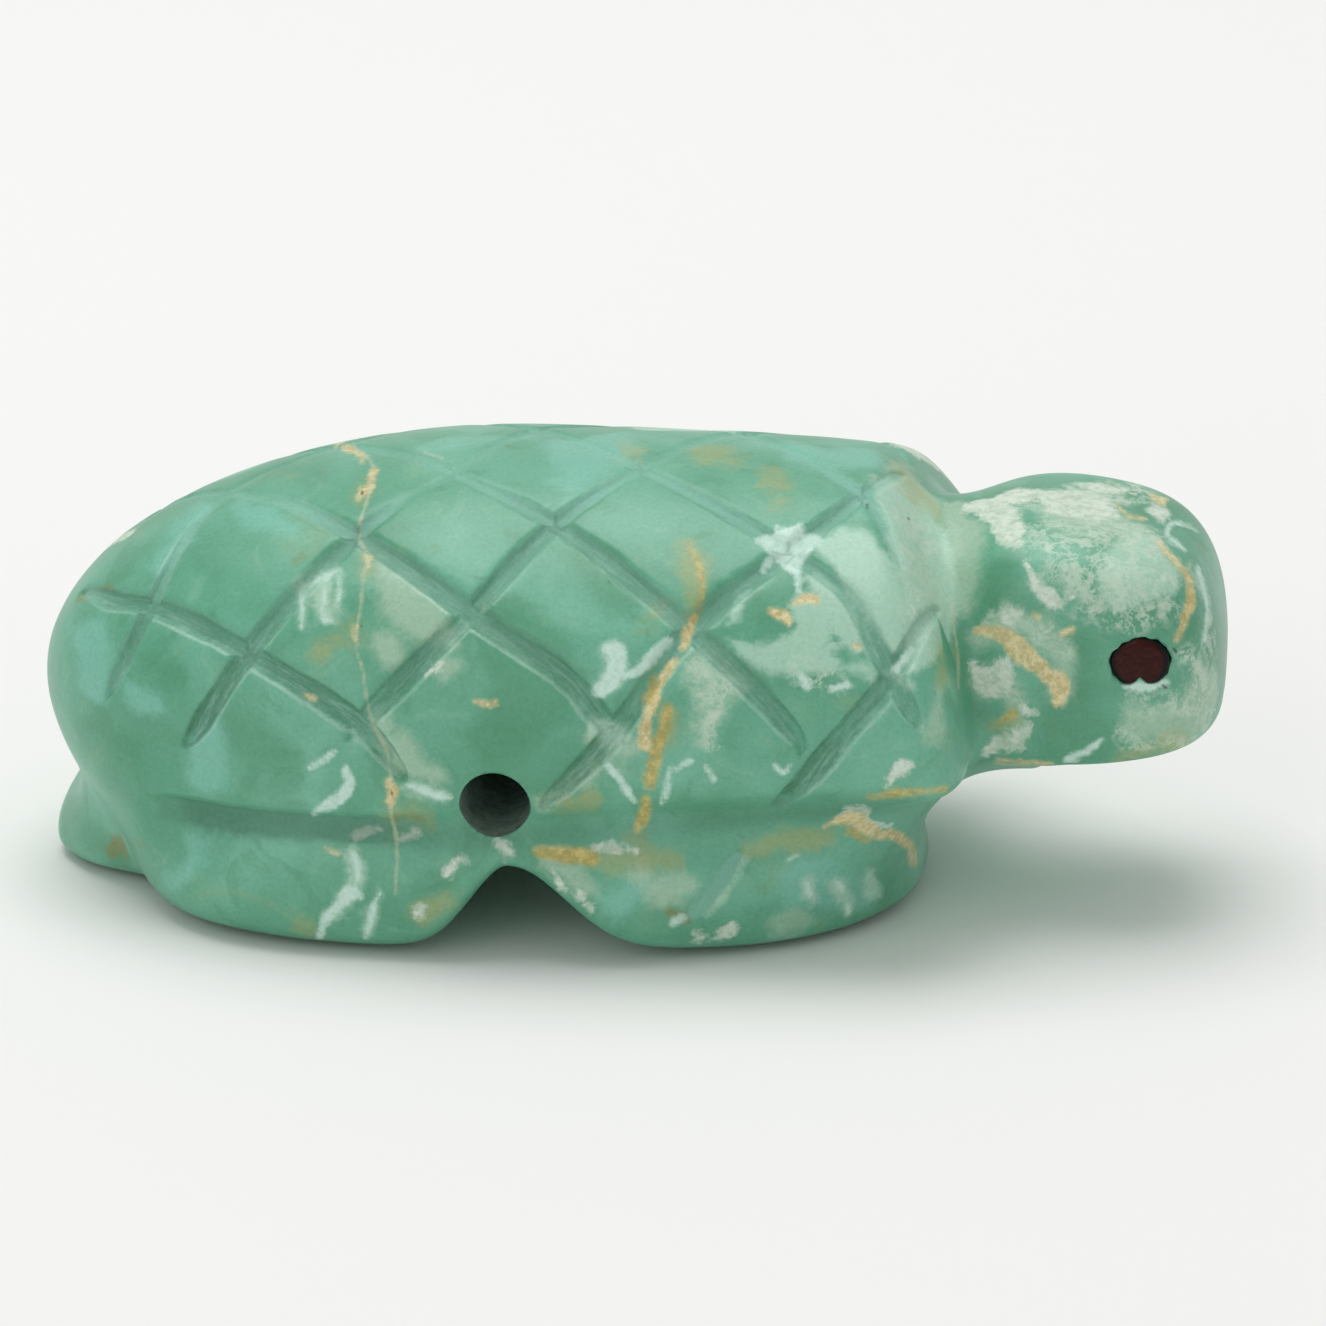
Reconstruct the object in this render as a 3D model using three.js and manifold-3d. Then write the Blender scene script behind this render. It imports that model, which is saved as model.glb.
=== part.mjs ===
// Turtle fetish carving, pale to deep green turquoise, after one photograph.
// Millimetres, +Z up, the turtle looks along +X and the photograph shows its right side (-Y).
// The ground plane is z = 0 and the origin is the middle of the footprint.
import * as THREE from 'three';
import { ParametricGeometry } from 'three/addons/geometries/ParametricGeometry.js';
import { mergeVertices } from 'three/addons/utils/BufferGeometryUtils.js';
import Module from 'manifold-3d';

const wasm = await Module();
wasm.setup();

// ---------------------------------------------------------------- driving dimensions

// shell: a long egg, blunt in front, that ends in an upright rounded face at the neck
const SHELL = { x: -2.4, z: 5.45, back: 13.8, front: 40.2, half: 7.8, up: 6.6, down: 6.8,
  power: 2.0, crossPower: 2.15, face: 8.15, faceRound: 2.45 };
// skirt: the rounded slab under the shell that the four legs are cut from
const SKIRT = { x: -3.05, z: 2.25, back: 10.7, front: 10.3, half: 7.9, up: 3.0, down: 2.8,
  power: 3.6, planPower: 3.45 };
const CHEST = { x: 6.2, z: 3.75, long: 2.55, half: 5.0, up: 1.55 };
const TAIL = { x: -13.7, z: 1.15, long: 2.25, half: 2.0, up: 1.8, lean: 0.35 };
const NECK = { x: 8.5, reach: 3.5, z: 7.1, up: 3.5, half: 3.6 };
const HEAD = { x: 12.35, z: 7.5, long: 3.55, half: 4.1, up: 3.45, power: 4.0, planPower: 3.4,
  brow: 4.15, browRound: 2.55, chin: 3.15, chinSlope: 0.2, chinRound: 0.85 };

// open arch between the front and the hind legs, and the shallow hollow between left and right
const ARCH = { x: -2.75, height: 2.75, backRun: 1.95, frontRun: 3.0, apex: 0.55 };
const HOLLOW = { x: -1.6, long: 11.6, half: 3.0, height: 1.15, below: 0.55 };

// hole drilled straight across, side to side
const BORE = { x: -3.05, z: 4.52, radius: 0.95, mouthRadius: 1.06, mouthDepth: 0.35 };

// round inlaid eyes, each seated on the flat floor of its drilled socket
const EYE = { x: 13.8, z: 7.9, radius: 0.72, socketRadius: 0.76, floor: 3.1, rim: 3.92, crown: 4.1 };

// wheel-cut lines: half width at the surface and depth
const LATTICE = { halfWidth: 0.36, depth: 0.27 };
const WAIST = { halfWidth: 0.48, depth: 0.55 };
const LEG_MARK = { halfWidth: 0.32, depth: 0.2 };

// every line is a row of [x, angle] knots: the angle goes round the shell's own axis,
// 0 at the right side, 90 on the ridge, 180 at the left side
const NET = [
  // lines that climb forwards
  [[-13.8, 10], [-12.73, 37], [-11.1, 82], [-8.4, 104], [-5.7, 127], [-2.7, 147], [0.3, 168], [2.6, 184]],
  [[-11.4, -2], [-9.8, 22], [-7.12, 53], [-4.3, 73], [-2.9, 104], [0.1, 127], [2.9, 147], [5.6, 168], [7.0, 181]],
  [[-7.0, 3], [-6.3, 11], [-3.82, 33], [-1.81, 55], [0.24, 76], [2.3, 104], [5.4, 127], [7.5, 146]],
  [[-1.6, -6], [0.13, 9], [2.19, 33], [4.28, 52], [6.0, 71], [7.1, 98]],
  [[4.9, -1], [7.2, 21], [7.9, 36]],
  [[-13.6, 104], [-11.2, 127], [-8.3, 147], [-5.3, 168], [-3.2, 183]],
  [[-14.9, 132], [-13.2, 147], [-10.8, 168], [-9.2, 182]],
  // lines that climb backwards
  [[-5.6, -2], [-6.3, 11], [-9.8, 22], [-12.73, 37], [-15.0, 57]],
  [[0.6, 0], [0.13, 9], [-1.36, 21], [-3.82, 33], [-7.12, 53], [-11.1, 82], [-13.9, 124]],
  [[5.2, -1], [3.7, 19], [2.19, 33], [-1.81, 55], [-4.3, 73], [-8.4, 104], [-11.2, 127], [-13.2, 147], [-14.5, 164]],
  [[7.6, 12], [7.2, 21], [6.7, 30], [4.28, 52], [0.24, 76], [-2.9, 104], [-5.7, 127], [-8.3, 147], [-10.8, 168], [-12.1, 181]],
  [[7.6, 44], [7.0, 57], [6.0, 71], [2.3, 104], [0.1, 127], [-2.7, 147], [-5.3, 168], [-6.7, 182]],
  [[7.2, 106], [5.4, 127], [2.9, 147], [0.3, 168], [-1.3, 183]],
  [[7.8, 140], [7.3, 149], [5.6, 168], [4.2, 181]],
];
const LEG_MARKS = [
  [[3.5, -15], [1.94, -28]],
  [[3.3, 196], [2.1, 208]],
];
const WAIST_LINES = [
  [[-12.6, -19], [-9.8, -15], [-5.0, -14], [0.0, -11], [4.5, -7], [7.4, -5]],
  [[-12.6, 199], [-9.8, 195], [-5.0, 194], [0.0, 191], [4.5, 187], [7.4, 185]],
];

const STONE_COLOR = '#6fab8e';
const INLAY_COLOR = '#3b1f1d';

// ---------------------------------------------------------------- the stone as one blended form

const blendMax = (a, b, k) => {
  const h = Math.max(k - Math.abs(a - b), 0) / k;
  return Math.max(a, b) + h * h * k * 0.25;
};
const blendMin = (a, b, k) => -blendMax(-a, -b, k);

// superellipsoid gauge of scaled offsets: 0 on its surface, negative inside
const egg = (dx, dy, dz, planPower, power) => {
  const plan = (Math.abs(dx) ** planPower + Math.abs(dy) ** planPower) ** (1 / planPower);
  return (plan ** power + Math.abs(dz) ** power) ** (1 / power) - 1;
};
const sided = (d, minus, plus) => (d < 0 ? d / minus : d / plus);

// negative inside the carving, positive outside, roughly in millimetres
function stone(x, y, z) {
  const along = sided(x - SHELL.x, SHELL.back, SHELL.front);
  const rise = sided(z - SHELL.z, SHELL.down, SHELL.up);
  const side = (Math.abs(along) ** SHELL.power + Math.abs(rise) ** SHELL.power) ** (1 / SHELL.power);
  const cross = (side ** SHELL.crossPower + Math.abs(y / SHELL.half) ** SHELL.crossPower) ** (1 / SHELL.crossPower);
  const shell = blendMax((cross - 1) * 6.8, x - SHELL.face, SHELL.faceRound);

  const skirt = egg(sided(x - SKIRT.x, SKIRT.back, SKIRT.front), y / SKIRT.half,
    sided(z - SKIRT.z, SKIRT.down, SKIRT.up), SKIRT.planPower, SKIRT.power) * 4.0;
  const chest = egg((x - CHEST.x) / CHEST.long, y / CHEST.half, (z - CHEST.z) / CHEST.up, 2.2, 2.2) * 2.5;
  const tail = egg((x - TAIL.lean * (z - 1) - TAIL.x) / TAIL.long, y / TAIL.half, (z - TAIL.z) / TAIL.up, 2, 2.2) * 1.9;

  const neckTube = (Math.hypot(y / NECK.half, (z - NECK.z) / NECK.up) - 1) * 3.5;
  const neck = blendMax(neckTube, Math.abs(x - NECK.x) - NECK.reach, 0.5);
  const dx = x - HEAD.x;
  const dz = z - HEAD.z;
  let head = egg(dx / HEAD.long, y / HEAD.half, dz / HEAD.up, HEAD.planPower, HEAD.power) * 3.9;
  head = blendMax(head, 0.62 * dx + 0.78 * dz - HEAD.brow, HEAD.browRound);
  head = blendMax(head, HEAD.chinSlope * Math.max(dx, 0) - dz - HEAD.chin, HEAD.chinRound);

  let body = blendMin(shell, skirt, 0.5);
  body = blendMin(body, chest, 1.0);
  body = blendMin(body, tail, 0.9);
  return blendMin(body, blendMin(neck, head, 0.8), 1.3);
}

// distance along a ray, from a start inside the stone, to the place where it leaves the stone
function exitDistance(origin, direction) {
  const value = (r) => stone(origin.x + r * direction.x, origin.y + r * direction.y, origin.z + r * direction.z);
  let inside = 0;
  let outside = 0.5;
  while (value(outside) < 0 && outside < 25) {
    inside = outside;
    outside += 0.35;
  }
  for (let k = 0; k < 22; k += 1) {
    const middle = (inside + outside) / 2;
    if (value(middle) < 0) inside = middle;
    else outside = middle;
  }
  return (inside + outside) / 2;
}

// the body's skin: rays fan out from a core line, from the tail end (row 0) to the nose (row 1)
const CORE_TAIL = new THREE.Vector3(-9.5, 0, 4.4);
const CORE_NOSE = new THREE.Vector3(11.3, 0, 6.9);
function skinPoint(row, turn, target) {
  const tilt = Math.PI * (row - 0.084 * Math.sin(2 * Math.PI * row));
  const origin = CORE_TAIL.clone().lerp(CORE_NOSE, (1 - Math.cos(Math.PI * row)) / 2);
  const direction = new THREE.Vector3(-Math.cos(tilt), -Math.sin(tilt) * Math.cos(turn), Math.sin(tilt) * Math.sin(turn));
  return target.copy(origin).addScaledVector(direction, exitDistance(origin, direction));
}

// rows are re-spaced so that they stand about equally far apart on the skin
const ROWS = 52;
const COLUMNS = 44;
const rowTable = (() => {
  const fine = 160;
  const lengths = [0];
  let last = null;
  for (let i = 0; i <= fine; i += 1) {
    const ring = [];
    for (let j = 0; j < 24; j += 1) ring.push(skinPoint(i / fine, (j * Math.PI) / 12, new THREE.Vector3()));
    if (last) lengths.push(lengths[i - 1] + 0.07 + Math.max(...ring.map((p, j) => p.distanceTo(last[j]))));
    last = ring;
  }
  return lengths.map((d) => d / lengths[fine]);
})();
function evenRow(u) {
  const last = rowTable.length - 1;
  let i = 0;
  while (i < last - 1 && rowTable[i + 1] < u) i += 1;
  return (i + (u - rowTable[i]) / (rowTable[i + 1] - rowTable[i])) / last;
}

// ---------------------------------------------------------------- closed solids

function solidOf(geometry) {
  const bare = geometry.clone();
  bare.deleteAttribute('normal');
  bare.deleteAttribute('uv');
  const merged = mergeVertices(bare, 1e-5);
  const index = [];
  for (let i = 0; i < merged.index.count; i += 3) {
    const [a, b, c] = [merged.index.getX(i), merged.index.getX(i + 1), merged.index.getX(i + 2)];
    if (a !== b && b !== c && c !== a) index.push(a, b, c);
  }
  const mesh = new wasm.Mesh({
    numProp: 3,
    vertProperties: new Float32Array(merged.attributes.position.array),
    triVerts: new Uint32Array(index),
  });
  return new wasm.Manifold(mesh);
}

function geometryOf(solid) {
  const mesh = solid.getMesh();
  const geometry = new THREE.BufferGeometry();
  geometry.setAttribute('position', new THREE.BufferAttribute(new Float32Array(mesh.vertProperties), 3));
  geometry.setIndex(new THREE.BufferAttribute(new Uint32Array(mesh.triVerts), 1));
  return geometry;
}

const skin = new ParametricGeometry((u, v, target) => {
  skinPoint(evenRow(u), v >= 1 ? 0 : v * 2 * Math.PI, target);
}, ROWS, COLUMNS);

// ---------------------------------------------------------------- cuts

// a point on the finished surface at a place along the shell and an angle round its axis
function onShell(x, degrees) {
  const angle = (degrees * Math.PI) / 180;
  const origin = new THREE.Vector3(x, 0, SHELL.z);
  const direction = new THREE.Vector3(0, -Math.cos(angle), Math.sin(angle));
  return origin.addScaledVector(direction, exitDistance(origin, direction));
}
function outward(p) {
  const e = 0.02;
  return new THREE.Vector3(
    stone(p.x + e, p.y, p.z) - stone(p.x - e, p.y, p.z),
    stone(p.x, p.y + e, p.z) - stone(p.x, p.y - e, p.z),
    stone(p.x, p.y, p.z + e) - stone(p.x, p.y, p.z - e),
  ).normalize();
}

// the path of a small grinding wheel: a groove with a flat floor and sloping walls that runs out
// to a point at both ends, where the wheel leaves the stone
function wheelCut(knots, cut, spacing) {
  const knotCurve = new THREE.CatmullRomCurve3(knots.map(([x, a]) => new THREE.Vector3(x, a / 7, 0)));
  const curve = new THREE.CatmullRomCurve3(knotCurve.getPoints(knots.length * 4).map((k) => onShell(k.x, k.y * 7)));
  const length = curve.getLength();
  const steps = Math.max(6, Math.round(length / spacing));
  const above = 0.15;
  const floor = cut.halfWidth * 0.45;
  const brim = floor + ((cut.halfWidth - floor) * (cut.depth + above)) / cut.depth;
  const section = [[-floor, -cut.depth], [floor, -cut.depth], [brim, above], [-brim, above], [-floor, -cut.depth]];
  const ribbon = new ParametricGeometry((u, v, target) => {
    const centre = curve.getPointAt(u);
    const tangent = curve.getTangentAt(u);
    const normal = outward(centre);
    const across = new THREE.Vector3().crossVectors(tangent, normal).normalize();
    const end = Math.min(u, 1 - u) * length;
    const size = u <= 0 || u >= 1 ? 0 : Math.sqrt(1 - (1 - Math.min(end / 1.1, 1)) ** 2);
    const [wide, high] = section[Math.round(v * 4)];
    target.copy(centre).addScaledVector(normal, above);
    target.addScaledVector(across, wide * size).addScaledVector(normal, (high - above) * size);
  }, steps, 4);
  return solidOf(ribbon);
}

// everything below the ground plane goes, so that the soles lie flat in one plane
const ground = solidOf(new THREE.BoxGeometry(60, 40, 10).translate(0, 0, -5));

const archShape = new THREE.Shape();
archShape.moveTo(ARCH.x - ARCH.backRun - 0.7, -1);
archShape.lineTo(ARCH.x - 0.35, ARCH.height - ARCH.apex * 0.4);
archShape.quadraticCurveTo(ARCH.x, ARCH.height + ARCH.apex * 0.3, ARCH.x + 0.42, ARCH.height - ARCH.apex * 0.45);
archShape.lineTo(ARCH.x + ARCH.frontRun + 1.1, -1);
const arch = solidOf(new THREE.ExtrudeGeometry(archShape, { depth: 24, bevelEnabled: false, curveSegments: 6 })
  .rotateX(Math.PI / 2).translate(0, 12, 0));

const hollow = solidOf(new THREE.SphereGeometry(1, 28, 14)
  .scale(HOLLOW.long, HOLLOW.half, HOLLOW.height + HOLLOW.below)
  .translate(HOLLOW.x, 0, -HOLLOW.below));

// the bore, with the mouths worn a little wider than the drill
const mouthAt = 7.8;
const boreProfile = [
  [0, -12], [BORE.mouthRadius, -12], [BORE.mouthRadius, -mouthAt], [BORE.radius, -mouthAt + BORE.mouthDepth],
  [BORE.radius, mouthAt - BORE.mouthDepth], [BORE.mouthRadius, mouthAt], [BORE.mouthRadius, 12], [0, 12],
].map(([r, y]) => new THREE.Vector2(r, y));
const bore = solidOf(new THREE.LatheGeometry(boreProfile, 28).translate(BORE.x, 0, BORE.z));

const socket = (side) => solidOf(new THREE.CylinderGeometry(EYE.socketRadius, EYE.socketRadius, 3, 28)
  .translate(EYE.x, side * (EYE.floor + 1.5), EYE.z));

let body = solidOf(skin).subtract(ground).subtract(arch).subtract(hollow).subtract(bore);
body = body.subtract(socket(-1)).subtract(socket(1));
for (const line of WAIST_LINES) body = body.subtract(wheelCut(line, WAIST, 1.6));
for (const line of NET) body = body.subtract(wheelCut(line, LATTICE, 1.9));
for (const mark of LEG_MARKS) body = body.subtract(wheelCut(mark, LEG_MARK, 0.4));
body = body.simplify(0.008);

// ---------------------------------------------------------------- eye inlays

// a short round plug with a softly domed and edged face, its flat back on the socket floor
function inlay(side) {
  const dome = [];
  for (let k = 0; k <= 4; k += 1) {
    const a = (k / 4) * (Math.PI / 2);
    dome.push(new THREE.Vector2(EYE.radius * Math.cos(a), EYE.rim + (EYE.crown - EYE.rim) * Math.sin(a)));
  }
  dome[dome.length - 1].x = 0;
  const profile = [new THREE.Vector2(0, EYE.floor), new THREE.Vector2(EYE.radius, EYE.floor), ...dome];
  const plug = new THREE.LatheGeometry(profile, 24);
  if (side < 0) plug.rotateX(Math.PI);
  return solidOf(plug.translate(EYE.x, 0, EYE.z));
}

// ---------------------------------------------------------------- the object

function mesh(name, solid, color, roughness) {
  const material = new THREE.MeshStandardMaterial({ color, roughness, metalness: 0 });
  const part = new THREE.Mesh(geometryOf(solid), material);
  part.name = name;
  return part;
}

const turtle = new THREE.Group();
turtle.name = 'turquoise_turtle';
turtle.add(mesh('turtle_body', body, STONE_COLOR, 0.35));
turtle.add(mesh('eye_inlay_right', inlay(-1), INLAY_COLOR, 0.3));
turtle.add(mesh('eye_inlay_left', inlay(1), INLAY_COLOR, 0.3));

export default turtle;
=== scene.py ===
# %% [markdown]
# # A small turtle carved from green turquoise
# The object is a drilled animal carving, 32 mm long, ground and polished out of one piece of
# green turquoise. A small wheel cut the crossed lines of the shell, a drill made the cord hole,
# and two dark dots are inlaid as eyes. The CAD model gives the size and the frame. Here the same
# forms are worked out again on a much finer skin, and get the stone's colours and wear.

# %% Load the CAD frame
import bpy
import numpy as np
from mathutils import Matrix


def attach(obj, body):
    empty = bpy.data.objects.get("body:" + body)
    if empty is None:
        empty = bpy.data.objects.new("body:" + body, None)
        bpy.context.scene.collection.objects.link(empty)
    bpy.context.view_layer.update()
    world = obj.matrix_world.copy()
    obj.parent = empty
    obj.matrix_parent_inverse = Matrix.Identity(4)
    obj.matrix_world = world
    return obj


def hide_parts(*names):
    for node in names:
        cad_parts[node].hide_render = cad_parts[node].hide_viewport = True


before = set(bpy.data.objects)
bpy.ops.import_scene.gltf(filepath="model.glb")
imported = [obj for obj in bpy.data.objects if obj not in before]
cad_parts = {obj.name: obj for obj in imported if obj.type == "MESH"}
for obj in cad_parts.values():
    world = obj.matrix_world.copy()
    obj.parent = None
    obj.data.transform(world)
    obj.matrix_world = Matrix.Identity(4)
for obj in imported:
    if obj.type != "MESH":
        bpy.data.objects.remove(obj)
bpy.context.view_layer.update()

MM = 0.001

# %% [markdown]
# ## The camera
# The photograph looks at the turtle's right side, a little from the front and from above, so that
# the hole shows its left and lower wall. A camera could be placed by hand, but here it's worked out
# from angles: a long way off with a long lens, as for a close-up of a bead. The same numbers serve
# to find the spot on the stone that lies behind any pixel of the photograph.

# %% Camera
PHOTO_SIDE = 1326.0
PX_PER_MM = 36.9
AZIMUTH, ELEVATION, DISTANCE = 6.0, 20.0, 300.0
LOOK_MM = np.array([0.637, 0.067, 5.898])


def camera_axes(azimuth, elevation):
    """Unit vectors back to the camera, to its right and up, for an azimuth that turns from -Y to +X."""
    a, e = np.radians(azimuth), np.radians(elevation)
    back = np.array([np.sin(a) * np.cos(e), -np.cos(a) * np.cos(e), np.sin(e)])
    right = np.array([np.cos(a), np.sin(a), 0.0])
    return back, right, np.cross(back, right)


def facing(place_mm, right, up, back):
    """The matrix of a camera or lamp at a place, with these axes as its own X, Y and Z."""
    return Matrix([[right[i], up[i], back[i], place_mm[i] * MM] for i in range(3)] + [[0, 0, 0, 1]])


BACK, RIGHT, UP = camera_axes(AZIMUTH, ELEVATION)
EYE_MM = LOOK_MM + BACK * DISTANCE

camera_data = bpy.data.cameras.new("camera")
camera_data.sensor_width = 36.0
camera_data.lens = 36.0 * DISTANCE / (PHOTO_SIDE / PX_PER_MM)
camera_data.clip_start, camera_data.clip_end = 0.01, 10.0
camera = bpy.data.objects.new("camera", camera_data)
bpy.context.scene.collection.objects.link(camera)
camera.matrix_world = facing(EYE_MM, RIGHT, UP, BACK)
bpy.context.scene.camera = camera
print("lens", round(camera_data.lens, 1), "mm")

# %% [markdown]
# ## The stone as one form
# A carver starts from a block and grinds one form into the next, so the shell, skirt, neck and head
# flow together. Separate balls and boxes would meet in hard creases, and sculpting by hand can't be
# repeated exactly. So the whole stone is one function of space that is negative inside and positive
# outside, about in millimetres: egg forms with rounded-square sections, joined by soft minimums.

# %% Soft joins and egg forms
def blend_max(a, b, k):
    """The larger of a and b, with the crossing rounded over a width k."""
    h = np.maximum(k - np.abs(a - b), 0.0) / k
    return np.maximum(a, b) + h * h * k * 0.25


def blend_min(a, b, k):
    """The smaller of a and b, with the crossing rounded over a width k."""
    return -blend_max(-a, -b, k)


def ease(low, high, v):
    """Rises smoothly from 0 at low to 1 at high."""
    t = np.clip((v - low) / (high - low), 0.0, 1.0)
    return t * t * (3.0 - 2.0 * t)


def sided(d, minus, plus):
    """An offset divided by one length behind the centre and by another in front of it."""
    return np.where(d < 0.0, d / minus, d / plus)


def egg(dx, dy, dz, plan_power, power):
    """Superellipsoid gauge of scaled offsets: ((|x|^p + |y|^p)^(q/p) + |z|^q)^(1/q) - 1."""
    plan = (np.abs(dx) ** plan_power + np.abs(dy) ** plan_power) ** (1.0 / plan_power)
    return (plan ** power + np.abs(dz) ** power) ** (1.0 / power) - 1.0


# %% The forms of the turtle
SHELL_AXIS = 5.45
ARCH_X, ARCH_HIGH = -2.75, 2.66


def shell(x, y, z):
    """A long egg, blunt in front, where an upright face ends it.

    In front its underside rises, so that the legs stand clear of it. The face is furthest forward
    at the height of the neck's underside, leans back above and is bowed in plan below."""
    along = sided(x + 2.4, 13.74, 40.2)
    rise = sided(z - SHELL_AXIS, 6.8 - 4.0 * ease(-2.0, 6.5, x), 6.6)
    side = np.sqrt(along ** 2 + rise ** 2)
    cross = (side ** 2.15 + np.abs(y / 7.8) ** 2.15) ** (1.0 / 2.15)
    lean = 0.28 * blend_max(z - 5.9, 0.0, 2.4) + 0.35 * blend_max(z - 9.2, 0.0, 2.0)
    bow = 0.035 * y ** 2 * (1.0 - ease(3.4, 5.4, z))
    face = x - 7.85 - 1.65 * ease(2.1, 5.6, z) + lean + bow
    return blend_max((cross - 1.0) * 6.8, face / 1.05, 1.35 - 0.45 * ease(9.0, 11.0, z))


def skirt(x, y, z):
    """The rounded slab under the shell that the legs are cut from: square behind, bowed in front."""
    plan_power = np.where(x < -3.05, 3.35, 2.35 + 0.5 * ease(0.3, 3.0, z))
    along = sided(x + 3.05, 10.5, 11.2 - 0.45 * ease(0.0, 1.4, z))
    return egg(along, y / 7.9, sided(z - 2.25, 2.8, 3.0), plan_power, 4.1 + 1.2 * ease(1.0, 6.0, x)) * 4.0


def waist_line(x):
    """The height of the line between shell and skirt: level in the middle, rising in front."""
    return 3.8 + 0.09 * np.maximum(x + 3.2, 0.0) - 0.05 * np.maximum(-7.5 - x, 0.0)


def waist(x, z):
    """How deep the line between shell and skirt is ground.

    Behind the hole it's a low step that runs out far below, and in front of it a shallow dip:
    height times exp(-(distance / width)^2)."""
    line = waist_line(x)
    s = z - line - 0.15
    channel = 0.24 * (1.0 - ease(-0.2, 0.35, s)) * np.exp(-(np.minimum(s, 0.0) / 1.7) ** 2)
    dip = 0.34 * np.exp(-((z - line) / np.where(z > line, 0.55, 1.2)) ** 2)
    rear = 1.0 - ease(-6.5, -4.0, x)
    depth = channel * rear + dip * (1.0 - rear)
    return depth * (1.0 - ease(7.0, 9.0, x)) * ease(-13.2, -11.4, x) * (1.0 - 0.45 * np.exp(-(x + 3.0) ** 2))


def unpolished_band_and_shade(x, z):
    """Rough stone beside that line, painted darker as shade: a sharp band behind, a soft one in front."""
    s = z - waist_line(x)
    behind = ease(-0.72, -0.5, s) * (1.0 - ease(0.12, 0.24, s))
    before = 0.55 * np.exp(-((s + 0.25) / 0.5) ** 2)
    rear = 1.0 - ease(-6.5, -4.0, x)
    return (behind * rear + before * (1.0 - rear)) * (1.0 - ease(7.0, 9.0, x)) * ease(-13.0, -11.0, x)


def underside(x, y):
    """Height of the stone's underside, and a length that makes a height difference a distance.

    A bell curve, exp(-|u|^p), is the arch between front and hind legs: it meets the ground in a
    tangent. A shallow hollow runs between the left and the right legs."""
    u = x - ARCH_X
    scaled = np.abs(sided(u, 1.52, 2.45))
    power = np.where(u < 0.0, 1.75, 1.95)
    bell = ARCH_HIGH * np.exp(-scaled ** power)
    steep = bell * power * scaled ** (power - 1.0) / np.where(u < 0.0, 1.52, 2.45)
    hollow = 1.1 * np.exp(-(y / 2.2) ** 2) * ease(-12.5, -10.5, x) * (1.0 - ease(6.0, 7.5, x))
    return (bell ** 3 + hollow ** 3) ** (1.0 / 3.0), np.sqrt(1.0 + 0.7 * steep ** 2)


def head_and_neck(x, y, z):
    """A round neck and a rounded block of a head, with a sloped brow and a flat chin that rises."""
    neck = (np.sqrt((y / 3.85) ** 2 + ((z - 7.2) / 3.65) ** 2) - 1.0) * 3.7
    neck = blend_max(neck, np.abs(x - 8.5) - 2.7, 0.5)
    dx, dz = x - 12.35, z - 7.5
    head = egg(dx / 3.55, y / 4.1, dz / 3.45, 3.4, 4.5) * 3.9
    head = blend_max(head, 0.62 * dx + 0.78 * dz - 4.15, 2.55)
    head = blend_max(head, 0.2 * blend_max(dx, 0.0, 1.0) - dz - 2.94, 0.5)
    return blend_min(neck, head, 0.8)


def stone(x, y, z):
    """The whole carving: negative inside, positive outside, about in millimetres."""
    saddle = 0.5 + 0.6 * (1.0 - ease(-13.5, -10.5, x)) + 0.5 * ease(2.0, 7.0, x)
    body = blend_min(shell(x, y, z), skirt(x, y, z), saddle) + waist(x, z)
    chest = egg((x - 4.8) / 2.75, y / 5.0, (z - 3.3) / 1.9, 2.2, 2.2) * 2.5
    body = blend_min(body, chest, 1.2)
    tail = egg((x - 0.35 * (z - 1.0) + 13.7) / 2.25, y / 2.3, (z - 1.22) / 1.8, 2.0, 2.2) * 1.9
    body = blend_min(body, tail, 0.7 + 0.7 * ease(0.5, 2.5, np.abs(y)))
    body = blend_min(body, head_and_neck(x, y, z), 0.8 + 0.5 * (1.0 - ease(3.5, 5.5, z)))
    floor, length = underside(x, y)
    return blend_max(body, (floor - z) / length, 0.5)


# %% [markdown]
# ## From the function to a skin
# The surface is where the function is zero. Marching cubes would find it too, but a grid of rays is
# simpler and keeps rows and columns: the rays fan out from a line inside the stone, row by row from
# the tail to the nose, and each is followed outwards to the surface.

# %% Rays that fan out from the core line
CORE_TAIL, CORE_NOSE = np.array([-9.5, 0.0, 4.4]), np.array([11.3, 0.0, 6.9])


def rays(row, turn):
    """Start points and directions for rows 0 to 1 and turns in radians, 0 on the right side.

    The start moves along the core line by (1 - cos(pi row)) / 2, and the ray tips over from
    backwards at the tail, through upright, to forwards at the nose."""
    row, turn = np.broadcast_arrays(row, turn)
    tilt = np.pi * (row - 0.084 * np.sin(2.0 * np.pi * row))
    start = CORE_TAIL + (CORE_NOSE - CORE_TAIL) * ((1.0 - np.cos(np.pi * row)) / 2.0)[..., None]
    way = np.stack([-np.cos(tilt), -np.sin(tilt) * np.cos(turn), np.sin(tilt) * np.sin(turn)], -1)
    return start, way


def value_at(start, way, r):
    p = start + way * r[..., None]
    return stone(p[..., 0], p[..., 1], p[..., 2])


def exit_distance(start, way):
    """How far each ray goes to leave the stone: steps outwards, then halves the last step."""
    far = np.full(start.shape[:-1], 0.5)
    found = np.zeros(far.shape, bool)
    for _ in range(50):
        todo = ~found
        if not todo.any():
            break
        outside = value_at(start[todo], way[todo], far[todo]) > 0.0
        found[todo] = outside
        far[todo] += np.where(outside, 0.0, 0.35)
    near = np.maximum(far - 0.35, 0.0)
    for _ in range(12):
        middle = (near + far) / 2.0
        inside = value_at(start, way, middle) < 0.0
        near, far = np.where(inside, middle, near), np.where(inside, far, middle)
    return (near + far) / 2.0


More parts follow.
